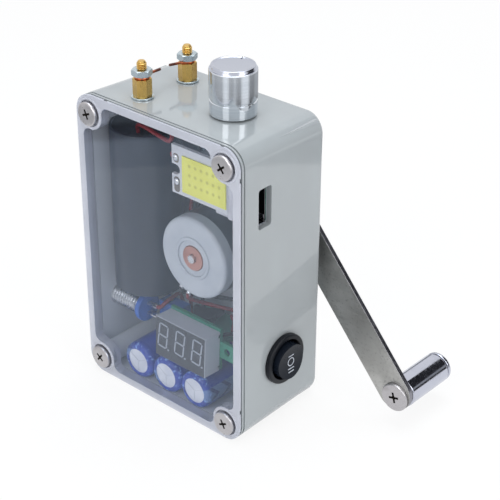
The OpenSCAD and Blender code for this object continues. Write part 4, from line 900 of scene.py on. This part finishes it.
tube = turned([(10.35, 0.1), (10.45, 0), (10.7, 0), (11.05, 0.12), (11.25, 0.5), (11.25, 54.7),
               (11.05, 55.08), (10.7, 55.2), (10.45, 55.2), (10.35, 55.1)], 96, True)
fill = turned([(0, 1.05), (8.5, 1.0), (10.0, 0.8), (10.38, 0.45), (10.38, 54.75), (10.0, 54.4), (8.5, 54.2),
               (0, 54.15)], 96)
piece("module_body", placed(joined(tube, painted(fill, 1)), at(-19.1, -4, 31.5)), "case", [TUBE, RESIN],
      ["arc_module"], sharp=45)
LEAD_R = 0.65
ARC_LEADS = [
    [[-17, -9, 85.5], [-17, -9.5, 88.6], [-12, -11.6, 90.2], [-3, -12.2, 88.9], [-0.6, -12.2, 88.7],
     [0.4, -11.8, 90.5], [-2, -10.8, 92.4], [-9, -10, 92.2], [-13.8, -9.4, 91.6], [-14.3, -9.3, 93.9]],
    [[-17, 1, 85.5], [-17, 1, 89.5], [-15.5, 5, 91], [-14.3, 9.7, 91], [-14.3, 9.7, 93.9]]]
leads("module_leads", ARC_LEADS, LEAD_R, "case", RED_WIRE, ["arc_leads"])

# Lamp: a board with its dam, layer and soldered ends

LAMP_X, LAMP_Z, BOARD_FRONT, LAYER_X, LAYER_Z = 3, 74.9, 15.1, 4.3, 1.4
sheet = flat([(0, 0), (21.9, 0), (21.9, 12.6), (19.1, 15.4), (0, 15.4), (0, 9.3)]
             + arc(1.6, 7.7, 1.6, 90, -90, 14) + [(0, 6.1)])
dam = placed(flat([(-0.75, -0.75), (17.6, -0.75), (17.6, 10.6), (15.95, 12.6), (-0.75, 12.6)]),
             at(LAYER_X, LAYER_Z, 0))
bmesh.ops.inset_region(dam, faces=dam.faces[:], thickness=0.7, use_even_offset=True)
bmesh.ops.delete(dam, geom=[max(dam.faces, key=lambda f: f.calc_area())], context="FACES")
dam = painted(raised(dam, 0.26, BOARD_FRONT), 1)
pads = [painted(placed(raised(plate(w, h, 1.0, 8), 0.05, BOARD_FRONT), at(x, z, 0)), 3)
        for x, z, w, h in ((1.95, 3.0, 2.3, 4.9), (1.75, 11.4, 2.3, 2.9))]
blobs = [painted(placed(blob(1.0, (1, 1.1, 0.6)), at(x, z, 15.2)), 2) for x, z in ((1.97, 3.9), (1.7, 11.5))]
board = joined(raised(sheet, 1.2, 13.9), dam, *pads, *blobs)
piece("lamp_plate", placed(board, at(LAMP_X, 0, LAMP_Z, TO_LID)), "case", [LAMP_SHEET, DAM, SOLDER, FLUX],
      ["lamp_board"], 0.06, 34)
layer = raised(flat([(0, 0), (17.2, 0), (17.2, 10.2), (15.8, 11.6), (0, 11.6)]), 0.4, BOARD_FRONT)
piece("lamp_layer", placed(layer, at(LAMP_X + LAYER_X, 0, LAMP_Z + LAYER_Z, TO_LID)), "case", PHOSPHOR,
      ["lamp_phosphor"], 0.16, 30, 3)

tape = flat([(0, 0), (5.7, 0), (5.7, 13), (0, 13)])
bmesh.ops.subdivide_edges(tape, edges=tape.edges[:], cuts=15, use_grid_fill=True)
for corner in tape.verts:
    x, y = corner.co.x, corner.co.y
    corner.co.z = 0.1 * math.sin(1.9 * x + 0.4 * y) * math.sin(0.55 * y + 0.8) + 0.05 * math.sin(2.6 * y + x)
    corner.co.x += 0.07 * math.sin(3.1 * y) if x < 0.01 else 0
piece("lamp_tape_strip", placed(raised(tape, 0.95, 13.97), at(24.9, 0, 73.5, TO_LID)), "case", TAPE,
      ["lamp_tape"], sharp=60)

# Motor

MOTOR = at(MOTOR_X, -12.5, MOTOR_Z, TO_LID)
TERMINAL_R, TERMINAL_TURNS = 14.9, (-118, -106)
edge = [(12.05 + 1.2 * math.cos(math.radians(a)), -1.2 + 1.2 * math.sin(math.radians(a)))
        for a in range(15, 91, 15)]
cap = turned([(3.02, -4), (13.25, -4), (13.25, -1.2)] + edge
             + [(7.25, 0), (6.95, 0.1), (6.85, 0.4), (6.7, 0.5), (5.95, 0.5), (5.82, 0.4), (5.75, 0),
                (5.2, -0.15), (4.2, -0.15), (4.09, -0.25), (4.09, -2), (3.02, -2)], 96, True)
slots = [placed(block((10.4, -0.9, -2.7), (13.6, 0.9, -1.9)), spun(a)) for a in TERMINAL_TURNS]
piece("motor_cap", placed(carved(cap, joined(*slots)), MOTOR), "case", NYLON, ["motor_end_cap"],
      sharp=36)
can = turned([(1.4, -19.1), (12.6, -19.1), (13.05, -18.9), (13.25, -18.4), (13.25, -4.35), (13.12, -4.05),
              (12.45, -4.02), (12.45, -18.3), (1.4, -18.3)], 96, True)
piece("motor_shell", placed(can, MOTOR), "case", MOTOR_STEEL, ["motor_can"], sharp=36)
bush = turned([(1.35, 0.1), (1.5, 0.25), (3.6, 0.25), (3.9, 0.18), (4.06, -0.05), (4.06, -2), (2.98, -2),
               (2.98, -4), (1.35, -4)], 64, True)
piece("motor_bearing", placed(bush, MOTOR), "case", BRONZE, ["motor_bush"], sharp=36)
ends = [placed(blob(0.85, (1, 0.8, 0.8), 16),
               at(MOTOR_X + TERMINAL_R * math.cos(a), -10.3, MOTOR_Z + TERMINAL_R * math.sin(a)))
        for a in map(math.radians, TERMINAL_TURNS)]
piece("motor_solder", joined(*ends), "case", SOLDER)

# Crank: arm, its screws, the handle's spindle and its grip

ARM_Y, ARM_T, ARM_R, SQUARE = 21.8, 1.5, 6.2, 3.85
arm = raised(flat(arc(0, 0, ARM_R, 90, 270, 40) + arc(68.5, 0, ARM_R, -90, 90, 40)), ARM_T)
square_hole = block((-SQUARE / 2, -SQUARE / 2, -1), (SQUARE / 2, SQUARE / 2, 3))
arm = carved(arm, joined(square_hole, peg(1.7, -1, 3, ARM_L, 0, 32)))
# The arm's cut edges take the darker metal: painted shade, for the dark that the edges mirror.
for face in arm.faces:
    face.material_index = int(0.05 < face.calc_center_median().z < ARM_T - 0.05)
piece("crank_strip", placed(arm, at(CRANK_X, ARM_Y, CRANK_Z, TO_BACK) @ spun(ARM_TURN)), "crank",
      [ARM_STEEL, EDGE_PAINTED_SHADE], ["crank_arm"], 0.08, 34)
piece("crank_screw_pan", placed(screw_head(4.2, 1.8, 4.2, 30), at(CRANK_X, ARM_Y + ARM_T, CRANK_Z, TO_BACK)),
      "crank", [NICKEL, CROSS_SHADE], ["crank_screw"], sharp=28)
piece("handle_screw_pan", placed(screw_head(4.7, 1.2, 4.2, 15), at(HANDLE_X, ARM_Y, HANDLE_Z, TO_LID)),
      "crank", [NICKEL, CROSS_SHADE], ["handle_screw"], sharp=28)
spindle = turned([(0, 0), (2.7, 0), (2.7, 20.0), (4.55, 20.0), (4.72, 20.08), (4.8, 20.25), (4.8, 20.85),
                  (4.74, 21.05), (4.55, 21.2), (0, 21.2)], 72)
piece("handle_pin", placed(spindle, at(HANDLE_X, ARM_Y + ARM_T, HANDLE_Z, TO_BACK)), "crank", CHROME,
      ["handle_spindle"], sharp=50)
grip = turned([(2.75, 0), (4.05, 0), (4.2, 0.12), (4.2, 0.9), (4.4, 0.9), (4.72, 1.0), (4.86, 1.2),
               (4.9, 1.5), (4.9, 18.8), (4.86, 19.1), (4.72, 19.32), (4.4, 19.4), (2.75, 19.4)], 96, True)
piece("grip_sleeve", placed(grip, at(HANDLE_X, 23.6, HANDLE_Z, TO_BACK)), "grip", CHROME, ["handle_grip"],
      sharp=50)

# Socket: a folded shell open at the wall, and its tongue with four contacts

SOCKET = at(0, SOCKET_Y, SOCKET_Z, TO_RIGHT)
shell = carved(raised(plate(13.1, 5.8, 0.7, 5), 14, 16.4), raised(plate(12.4, 5.1, 0.45, 5), 14, 16.75))
for face in shell.faces:
    middle = face.calc_center_median()
    face.material_index = int(abs(middle.y) < 2.56 and abs(middle.x) < 6.21 and 16.6 < middle.z < 30.3)
tabs = [block((4.0, 2.3, 27.8), (6.1, 2.5, 30.2), 0.1)]
tabs += [block((x - 0.9, 2.83, 22), (x + 0.9, 2.95, 27.6)) for x in (-3.2, 3.2)]
piece("socket_box", placed(joined(shell, *tabs), SOCKET), "case", [TINNED, SHADED_TIN], ["socket_shell"],
      0.05, 34)
tongue = block((-5.6, 0.66, 16.7), (5.6, 2.5, 28.4), 0.25)
strips = [painted(block((x - 0.5, 0.6, 20), (x + 0.5, 0.7, 28.1)), 1) for x in (-3.6, -1.2, 1.2, 3.6)]
piece("socket_insert", placed(joined(tongue, *strips), SOCKET), "case", [BLACK, GOLD], ["socket_tongue"])

# Round rocker switch

WALL_X, ROCKER_TOP, DISH, DISH_DEEP, PIVOT_DOWN = 32.792, 3.8, 30.3, 0.55, 1.2
MARK_FOOT, BAR_HALF_W = 2, 0.16
SWITCH = at(WALL_X, SWITCH_Y, SWITCH_Z, TO_RIGHT)


def dished(part, lift=0.0):
    """Cuts a shape's top to the rocker's shallow hollow."""
    hollow = placed(rod(DISH - lift, -9, 9, 300), at(0, 0, ROCKER_TOP - DISH_DEEP + DISH, TO_BACK))
    return carved(part, hollow)


bezel = turned([(0, -11.5), (7.0, -11.5), (7.3, -11.2), (7.3, 0), (8.12, 0), (8.2, 0.1), (8.2, 1.25),
                (8.1, 1.5), (7.9, 1.66), (7.6, 1.7), (6.75, 1.7), (6.6, 1.55), (6.6, -4.6), (0, -4.6)], 96)
bore = placed(rod(0.95, -7.1, 7.1, 24), at(0, 0, -PIVOT_DOWN, TO_BACK))
piece("switch_ring", placed(carved(bezel, bore), SWITCH), "case", BLACK, ["switch_bezel"],
      sharp=40)
pad = dished(rod(5.75, -2.8, ROCKER_TOP + 0.01, 96))
pivot = placed(rod(0.9, -7, 7, 24), at(0, 0, -PIVOT_DOWN, TO_BACK))
piece("switch_pad", placed(carved(pad, pivot, "UNION"), SWITCH), "rocker", ROCKER, ["switch_rocker"],
      0.3, 34, 3)
ring = turned([(1.17, MARK_FOOT), (1.47, MARK_FOOT), (1.47, ROCKER_TOP), (1.17, ROCKER_TOP)], 48, True)
bars = [block((z - BAR_HALF_W, -half, MARK_FOOT), (z + BAR_HALF_W, half, ROCKER_TOP))
        for z, half in ((-2.1, 1.2), (2.4, 1.35), (3.5, 1.25))]
marks = dished(joined(placed(ring, at(0.1, 0, 0)), *bars), 0.03)
piece("switch_marks", placed(marks, SWITCH), "rocker", PRINT)

# Meter

METER_FRAME = at(6, -17.0, 15.9085, Matrix.Rotation(math.radians(-2.6), 4, "X"))
box = carved(block((-10.6, 0, 0), (10.6, 6.8, 13.8), 0.3, 3), block((-10, -1, 0.6), (10, 0.5, 13.2)))
for face in box.faces:
    face.material_index = int(face.calc_center_median().y < 0.05)
clips = [painted(block((10.4, 5.7, z - 0.6), (10.8, 6.75, z + 0.6), 0.1), 2) for z in (1.4, 12.5)]
piece("meter_box", placed(joined(box, *clips), METER_FRAME), "case", [METER, DISPLAY, SOLDER], ["meter_case"],
      sharp=34)

# Capacitors, each with a sleeve that laps over its scored end

STRIPE_HALF = 24
cans, sleeves = [], []
for place, stripe_at in zip((-13.6, -1.15, 11.3), (150, 205, 0)):
    seat = at(place, -15.2, 8.6, TO_BACK)
    can = turned([(0, -0.72), (3.9, -0.76), (4.25, -0.82), (5.7, -0.6), (5.95, 0), (5.95, 24), (0, 24)], 72)
    score = [placed(block((0.2, -0.2, -1.4), (3.9, 0.2, -0.6)), spun(a)) for a in (90, 210, 330)]
    cans.append(placed(carved(can, joined(*score)), seat))
    sleeve = turned([(4.25, -0.82), (4.22, -1.0), (4.4, -1.05), (5.2, -0.95), (5.75, -0.6), (6.08, -0.1),
                     (6.2, 0.6), (6.2, 1.3), (6.12, 1.6), (6.12, 1.9), (6.2, 2.2), (6.2, 23.8), (6.15, 24),
                     (5.96, 24), (5.96, 0.1), (5.6, -0.5), (4.6, -0.78)], 72, True)
    for face in sleeve.faces:
        middle = face.calc_center_median()
        around = math.degrees(math.atan2(-middle.y, middle.x)) - stripe_at
        face.material_index = int(abs((around + 180) % 360 - 180) < STRIPE_HALF)
    sleeves.append(placed(sleeve, seat))
piece("capacitor_can_set", joined(*cans), "case", FOIL, ["capacitor_cans"], sharp=30)
piece("capacitor_sleeve_set", joined(*sleeves), "case", [SLEEVE, STRIPE], ["capacitor_sleeves"],
      sharp=40)

# Push button

barrel = turned([(0, 0), (3.1, 0)] + thread(3.5, 0.55, 1.1, 0.15, 16.7)
                + [(3.0, 17), (2.35, 17), (2.35, 9), (0, 9)], 64)
piece("button_barrel", placed(barrel, at(-18.6, BUTTON_Y, BUTTON_Z, TO_LEFT)), "case", STEEL, ["button_bush"],
      sharp=40)
nut = carved(chamfered_hex(10, 1.8, 0.45, 8), rod(3.55, -1, 3, 48))
piece("button_ring_nut", placed(nut, at(-33, BUTTON_Y, BUTTON_Z, TO_LEFT)), "case", ZINC, ["button_nut"],
      0.05, 30)
cap = turned([(0, 0), (2.3, 0), (2.3, 8.0), (2.22, 8.35), (2.0, 8.6), (1.6, 8.74), (0.8, 8.79), (0, 8.8)], 48)
piece("button_press_cap", placed(cap, at(-29.4, BUTTON_Y, BUTTON_Z, TO_LEFT)), "button", RED, ["button_cap"],
      sharp=50)
body = turned([(0, 0), (4.5, 0), (4.72, 0.1), (4.8, 0.35), (4.8, 1.55), (4.65, 1.8), (0, 1.8)], 64)
piece("button_blue_body", placed(body, at(-16.8, BUTTON_Y, BUTTON_Z, TO_LEFT)), "case", BLUE, ["button_body"],
      sharp=50)

# Trimmer behind the button

TRIM_X, TRIM_Y = -12, -2.8
body = carved(block((-14.4, -5.2, 16.5), (-4.9, -0.4, 26.5), 0.25), peg(1.3, 25.6, 27, TRIM_X, TRIM_Y, 32))
screw = turned([(0, 25), (1.2, 25), (1.2, 26.3), (1.1, 26.4), (0, 26.4)], 32)
screw = painted(carved(screw, block((-1.5, -0.2, 25.9), (1.5, 0.2, 27))), 1)
piece("trimmer_block", joined(body, placed(screw, at(TRIM_X, TRIM_Y, 0) @ spun(35))), "case", [BLUE, BRASS],
      ["trimmer"], sharp=34)

# Inner leads

RED_LEADS = [
    [[3.2, -14.5, 86], [1.2, -13.4, 86.2], [0.2, -10.5, 85], [-0.6, -6, 77], [-5.6, 2.6, 68],
     [-8, 2.9, 54], [-8.4, 3.2, 36], [-9.6, 4.5, 24], [-9.6, 4.5, 16.4]],
    [[3.9, -10.25, 38.2], [3.4, -10, 36.2], [4.4, -5, 33], [11, -1, 31.6], [15, 2.4, 30.6],
     [9, 8, 27], [4.6, 13, 21], [4.6, 13, 16.4]],
    [[15.6, 0.9, 26.6], [12.6, 0.9, 26.8], [9.5, 3, 27], [7.6, 6.8, 22], [6.4, 7, 18.4], [6.4, 7, 16.4]],
    [[-12.9, -7.5, 25.3], [-11.4, -7.5, 25.6], [-10.4, -6.4, 27.4], [-10.4, -2, 28.2],
     [-10.4, 0.6, 28.2], [-10.4, 1.6, 24], [-10.4, 1.6, 16.4]]]
BLACK_LEADS = [
    [[3.2, -14.5, 78.8], [1.4, -13.4, 78.6], [0.4, -9, 76.5], [-3.9, 4.2, 67.5], [-6.8, 4.3, 54],
     [-7, 4.6, 36], [-7, 7.4, 24], [-7, 7.4, 16.4]],
    [[0.9, -10.25, 39.4], [0.3, -9.8, 37.2], [2.6, -4, 34.6], [10, 1, 34], [15, 5.4, 32.4],
     [11, 11, 27], [6.6, 11, 20], [6.6, 11, 16.4]],
    [[15.6, 0.9, 22.2], [12.6, 0.9, 22.2], [9, 0, 20.6], [6, -2.6, 19.6], [5.4, -3.4, 18.4],
     [5.4, -3.4, 16.4]],
    [[-12.9, -7.5, 21.9], [-10.4, -7.6, 21.9], [-6, -7, 21.4], [-3.4, -5.6, 20], [-3.2, -3.4, 18.6],
     [-3.2, -3.2, 16.4]]]
leads("red_leads", RED_LEADS, LEAD_R, "case", RED_WIRE, ["red_wires"])
leads("black_leads", BLACK_LEADS, LEAD_R, "case", BLACK_WIRE, ["black_wires"])

# Camera, set from the photograph's vanishing lines

camera = linked(bpy.data.objects.new("camera", bpy.data.cameras.new("camera")))
camera.data.lens, camera.data.sensor_width = 101.97, 36
eye, aim_point = Vector((0.266476, -0.275711, 0.262103)), Vector((0.019972, 0, 0.055375))
look = (aim_point - eye).to_track_quat("-Z", "Y").to_matrix() @ Matrix.Rotation(math.radians(0.2226), 3, "Z")
camera.matrix_world = Matrix.Translation(eye) @ look.to_4x4()
bpy.context.scene.camera = camera
bpy.context.scene.view_settings.view_transform = "Standard"

# Floor, studio light, and the two things that only mirrors see

MIDDLE = (0.005, 0, 0.06)


def facing(place, target):
    turn = (Vector(target) - Vector(place)).to_track_quat("-Z", "Y").to_matrix()
    return Matrix.Translation(place) @ turn.to_4x4()


def around(azimuth, elevation, distance, centre=MIDDLE):
    a, e = math.radians(azimuth), math.radians(elevation)
    way = Vector((math.cos(a) * math.cos(e), math.sin(a) * math.cos(e), math.sin(e)))
    return Vector(centre) + distance * way


def sheet_of(width, height):
    """A flat rectangle in metres."""
    part = bmesh.new()
    bmesh.ops.create_grid(part, x_segments=1, y_segments=1, size=0.5)
    bmesh.ops.scale(part, verts=part.verts, vec=(width, height, 1))
    return part


def studio(name, part, finish):
    """Makes a shape an object of the studio, in metres."""
    mesh = bpy.data.meshes.new(name)
    part.to_mesh(mesh)
    part.free()
    mesh.materials.append(finish)
    return linked(bpy.data.objects.new(name, mesh))


def for_mirrors(item):
    item.visible_camera = item.visible_diffuse = item.visible_transmission = item.visible_shadow = False


def softbox(name, azimuth, elevation, distance, width, height, power, colour=(1, 1, 1)):
    data = bpy.data.lights.new(name, "AREA")
    data.shape, data.size, data.size_y, data.energy, data.color = "RECTANGLE", width, height, power, colour
    lamp = linked(bpy.data.objects.new(name, data))
    lamp.matrix_world = facing(around(azimuth, elevation, distance), MIDDLE)
    lamp.visible_camera = False


def floor_paint():
    """Pale floor that mirrors and the camera see nearly white."""
    f = Finish("studio_floor")
    matt = f.node("ShaderNodeBsdfDiffuse", {}, {"Color": (0.94, 0.94, 0.94, 1)})
    glow = f.node("ShaderNodeEmission", {}, {"Color": (1, 1, 1, 1), "Strength": 1.0})
    return f.mixed(f.seen() * 0.86, matt, glow)


def studio_air():
    """Soft light from all round that looks white."""
    f = Finish("studio_air", True)
    soft = f.node("ShaderNodeBackground", {}, {"Color": (0.97, 0.985, 1.0, 1), "Strength": 0.6})
    white = f.node("ShaderNodeBackground", {}, {"Color": (1, 1, 1, 1), "Strength": 1.0})
    return f.mixed(f.seen(), soft, white)


def card_paint():
    f = Finish("studio_card")
    return f.done(f.node("ShaderNodeBsdfDiffuse", {}, {"Color": (0.03, 0.03, 0.033, 1)}))


def screen_light():
    """The bright and dark bands round the knob, by the way they lie from it in degrees."""
    f = Finish("knob_screen")
    x, y, z = f.axes(f.moved(centre=(KNOB_X, KNOB_Y, 0)))
    way = y.angle(x) * (180 / math.pi)
    glint = ((way + 82).size().ramp(14, 11) + (way - 9).size().ramp(21, 18)
             + (way + 40).size().ramp(6, 3) * 0.6 + (way + 150).size().ramp(6, 3) * 0.5)
    grip_shade = (way - 45).size().ramp(22, 18)
    window_side = way.ramp(-104, -108) * z.ramp(0.026, 0.023)
    level = 0.18 + 0.34 * z.ramp(0.03, 0.033) + 0.5 * glint + 0.05 * (way * (math.pi / 60)).sine()
    level = level - 0.2 * grip_shade + 0.7 * window_side
    colour = f.blend(level.least(1.0), (0, 0, 0, 1), (0.93, 0.96, 1.0, 1))
    return f.done(f.node("ShaderNodeEmission", {}, {"Color": colour}))


floor = studio("floor", sheet_of(8, 8), floor_paint())
bpy.context.scene.world = studio_air()
softbox("front_softbox", -83, 28, 0.75, 0.34, 0.5, 1.6)
softbox("right_softbox", -4, 24, 0.75, 0.3, 0.5, 1.4)
softbox("top_softbox", 120, 80, 0.7, 0.5, 0.5, 2.6, (0.9, 0.95, 1.0))

# A black card, as a studio uses to draw an edge on metal: here on the grip

GRIP_MIDDLE = (0.055, 0.03, 0.016)
part = placed(sheet_of(0.3, 0.34), facing(around(50, 32, 0.3, GRIP_MIDDLE), GRIP_MIDDLE))
card = studio("card_grip", part, card_paint())
for_mirrors(card)

# A glowing ring round the knob, low enough that only its sides mirror it

part = rod(170, 12, 52, 96)
bmesh.ops.delete(part, geom=[face for face in part.faces if abs(face.normal.z) > 0.5], context="FACES_ONLY")
bmesh.ops.translate(part, verts=part.verts, vec=(KNOB_X, KNOB_Y, 0))
bmesh.ops.scale(part, verts=part.verts, vec=(MM, MM, MM))
screen = studio("knob_screen", part, screen_light())
for_mirrors(screen)
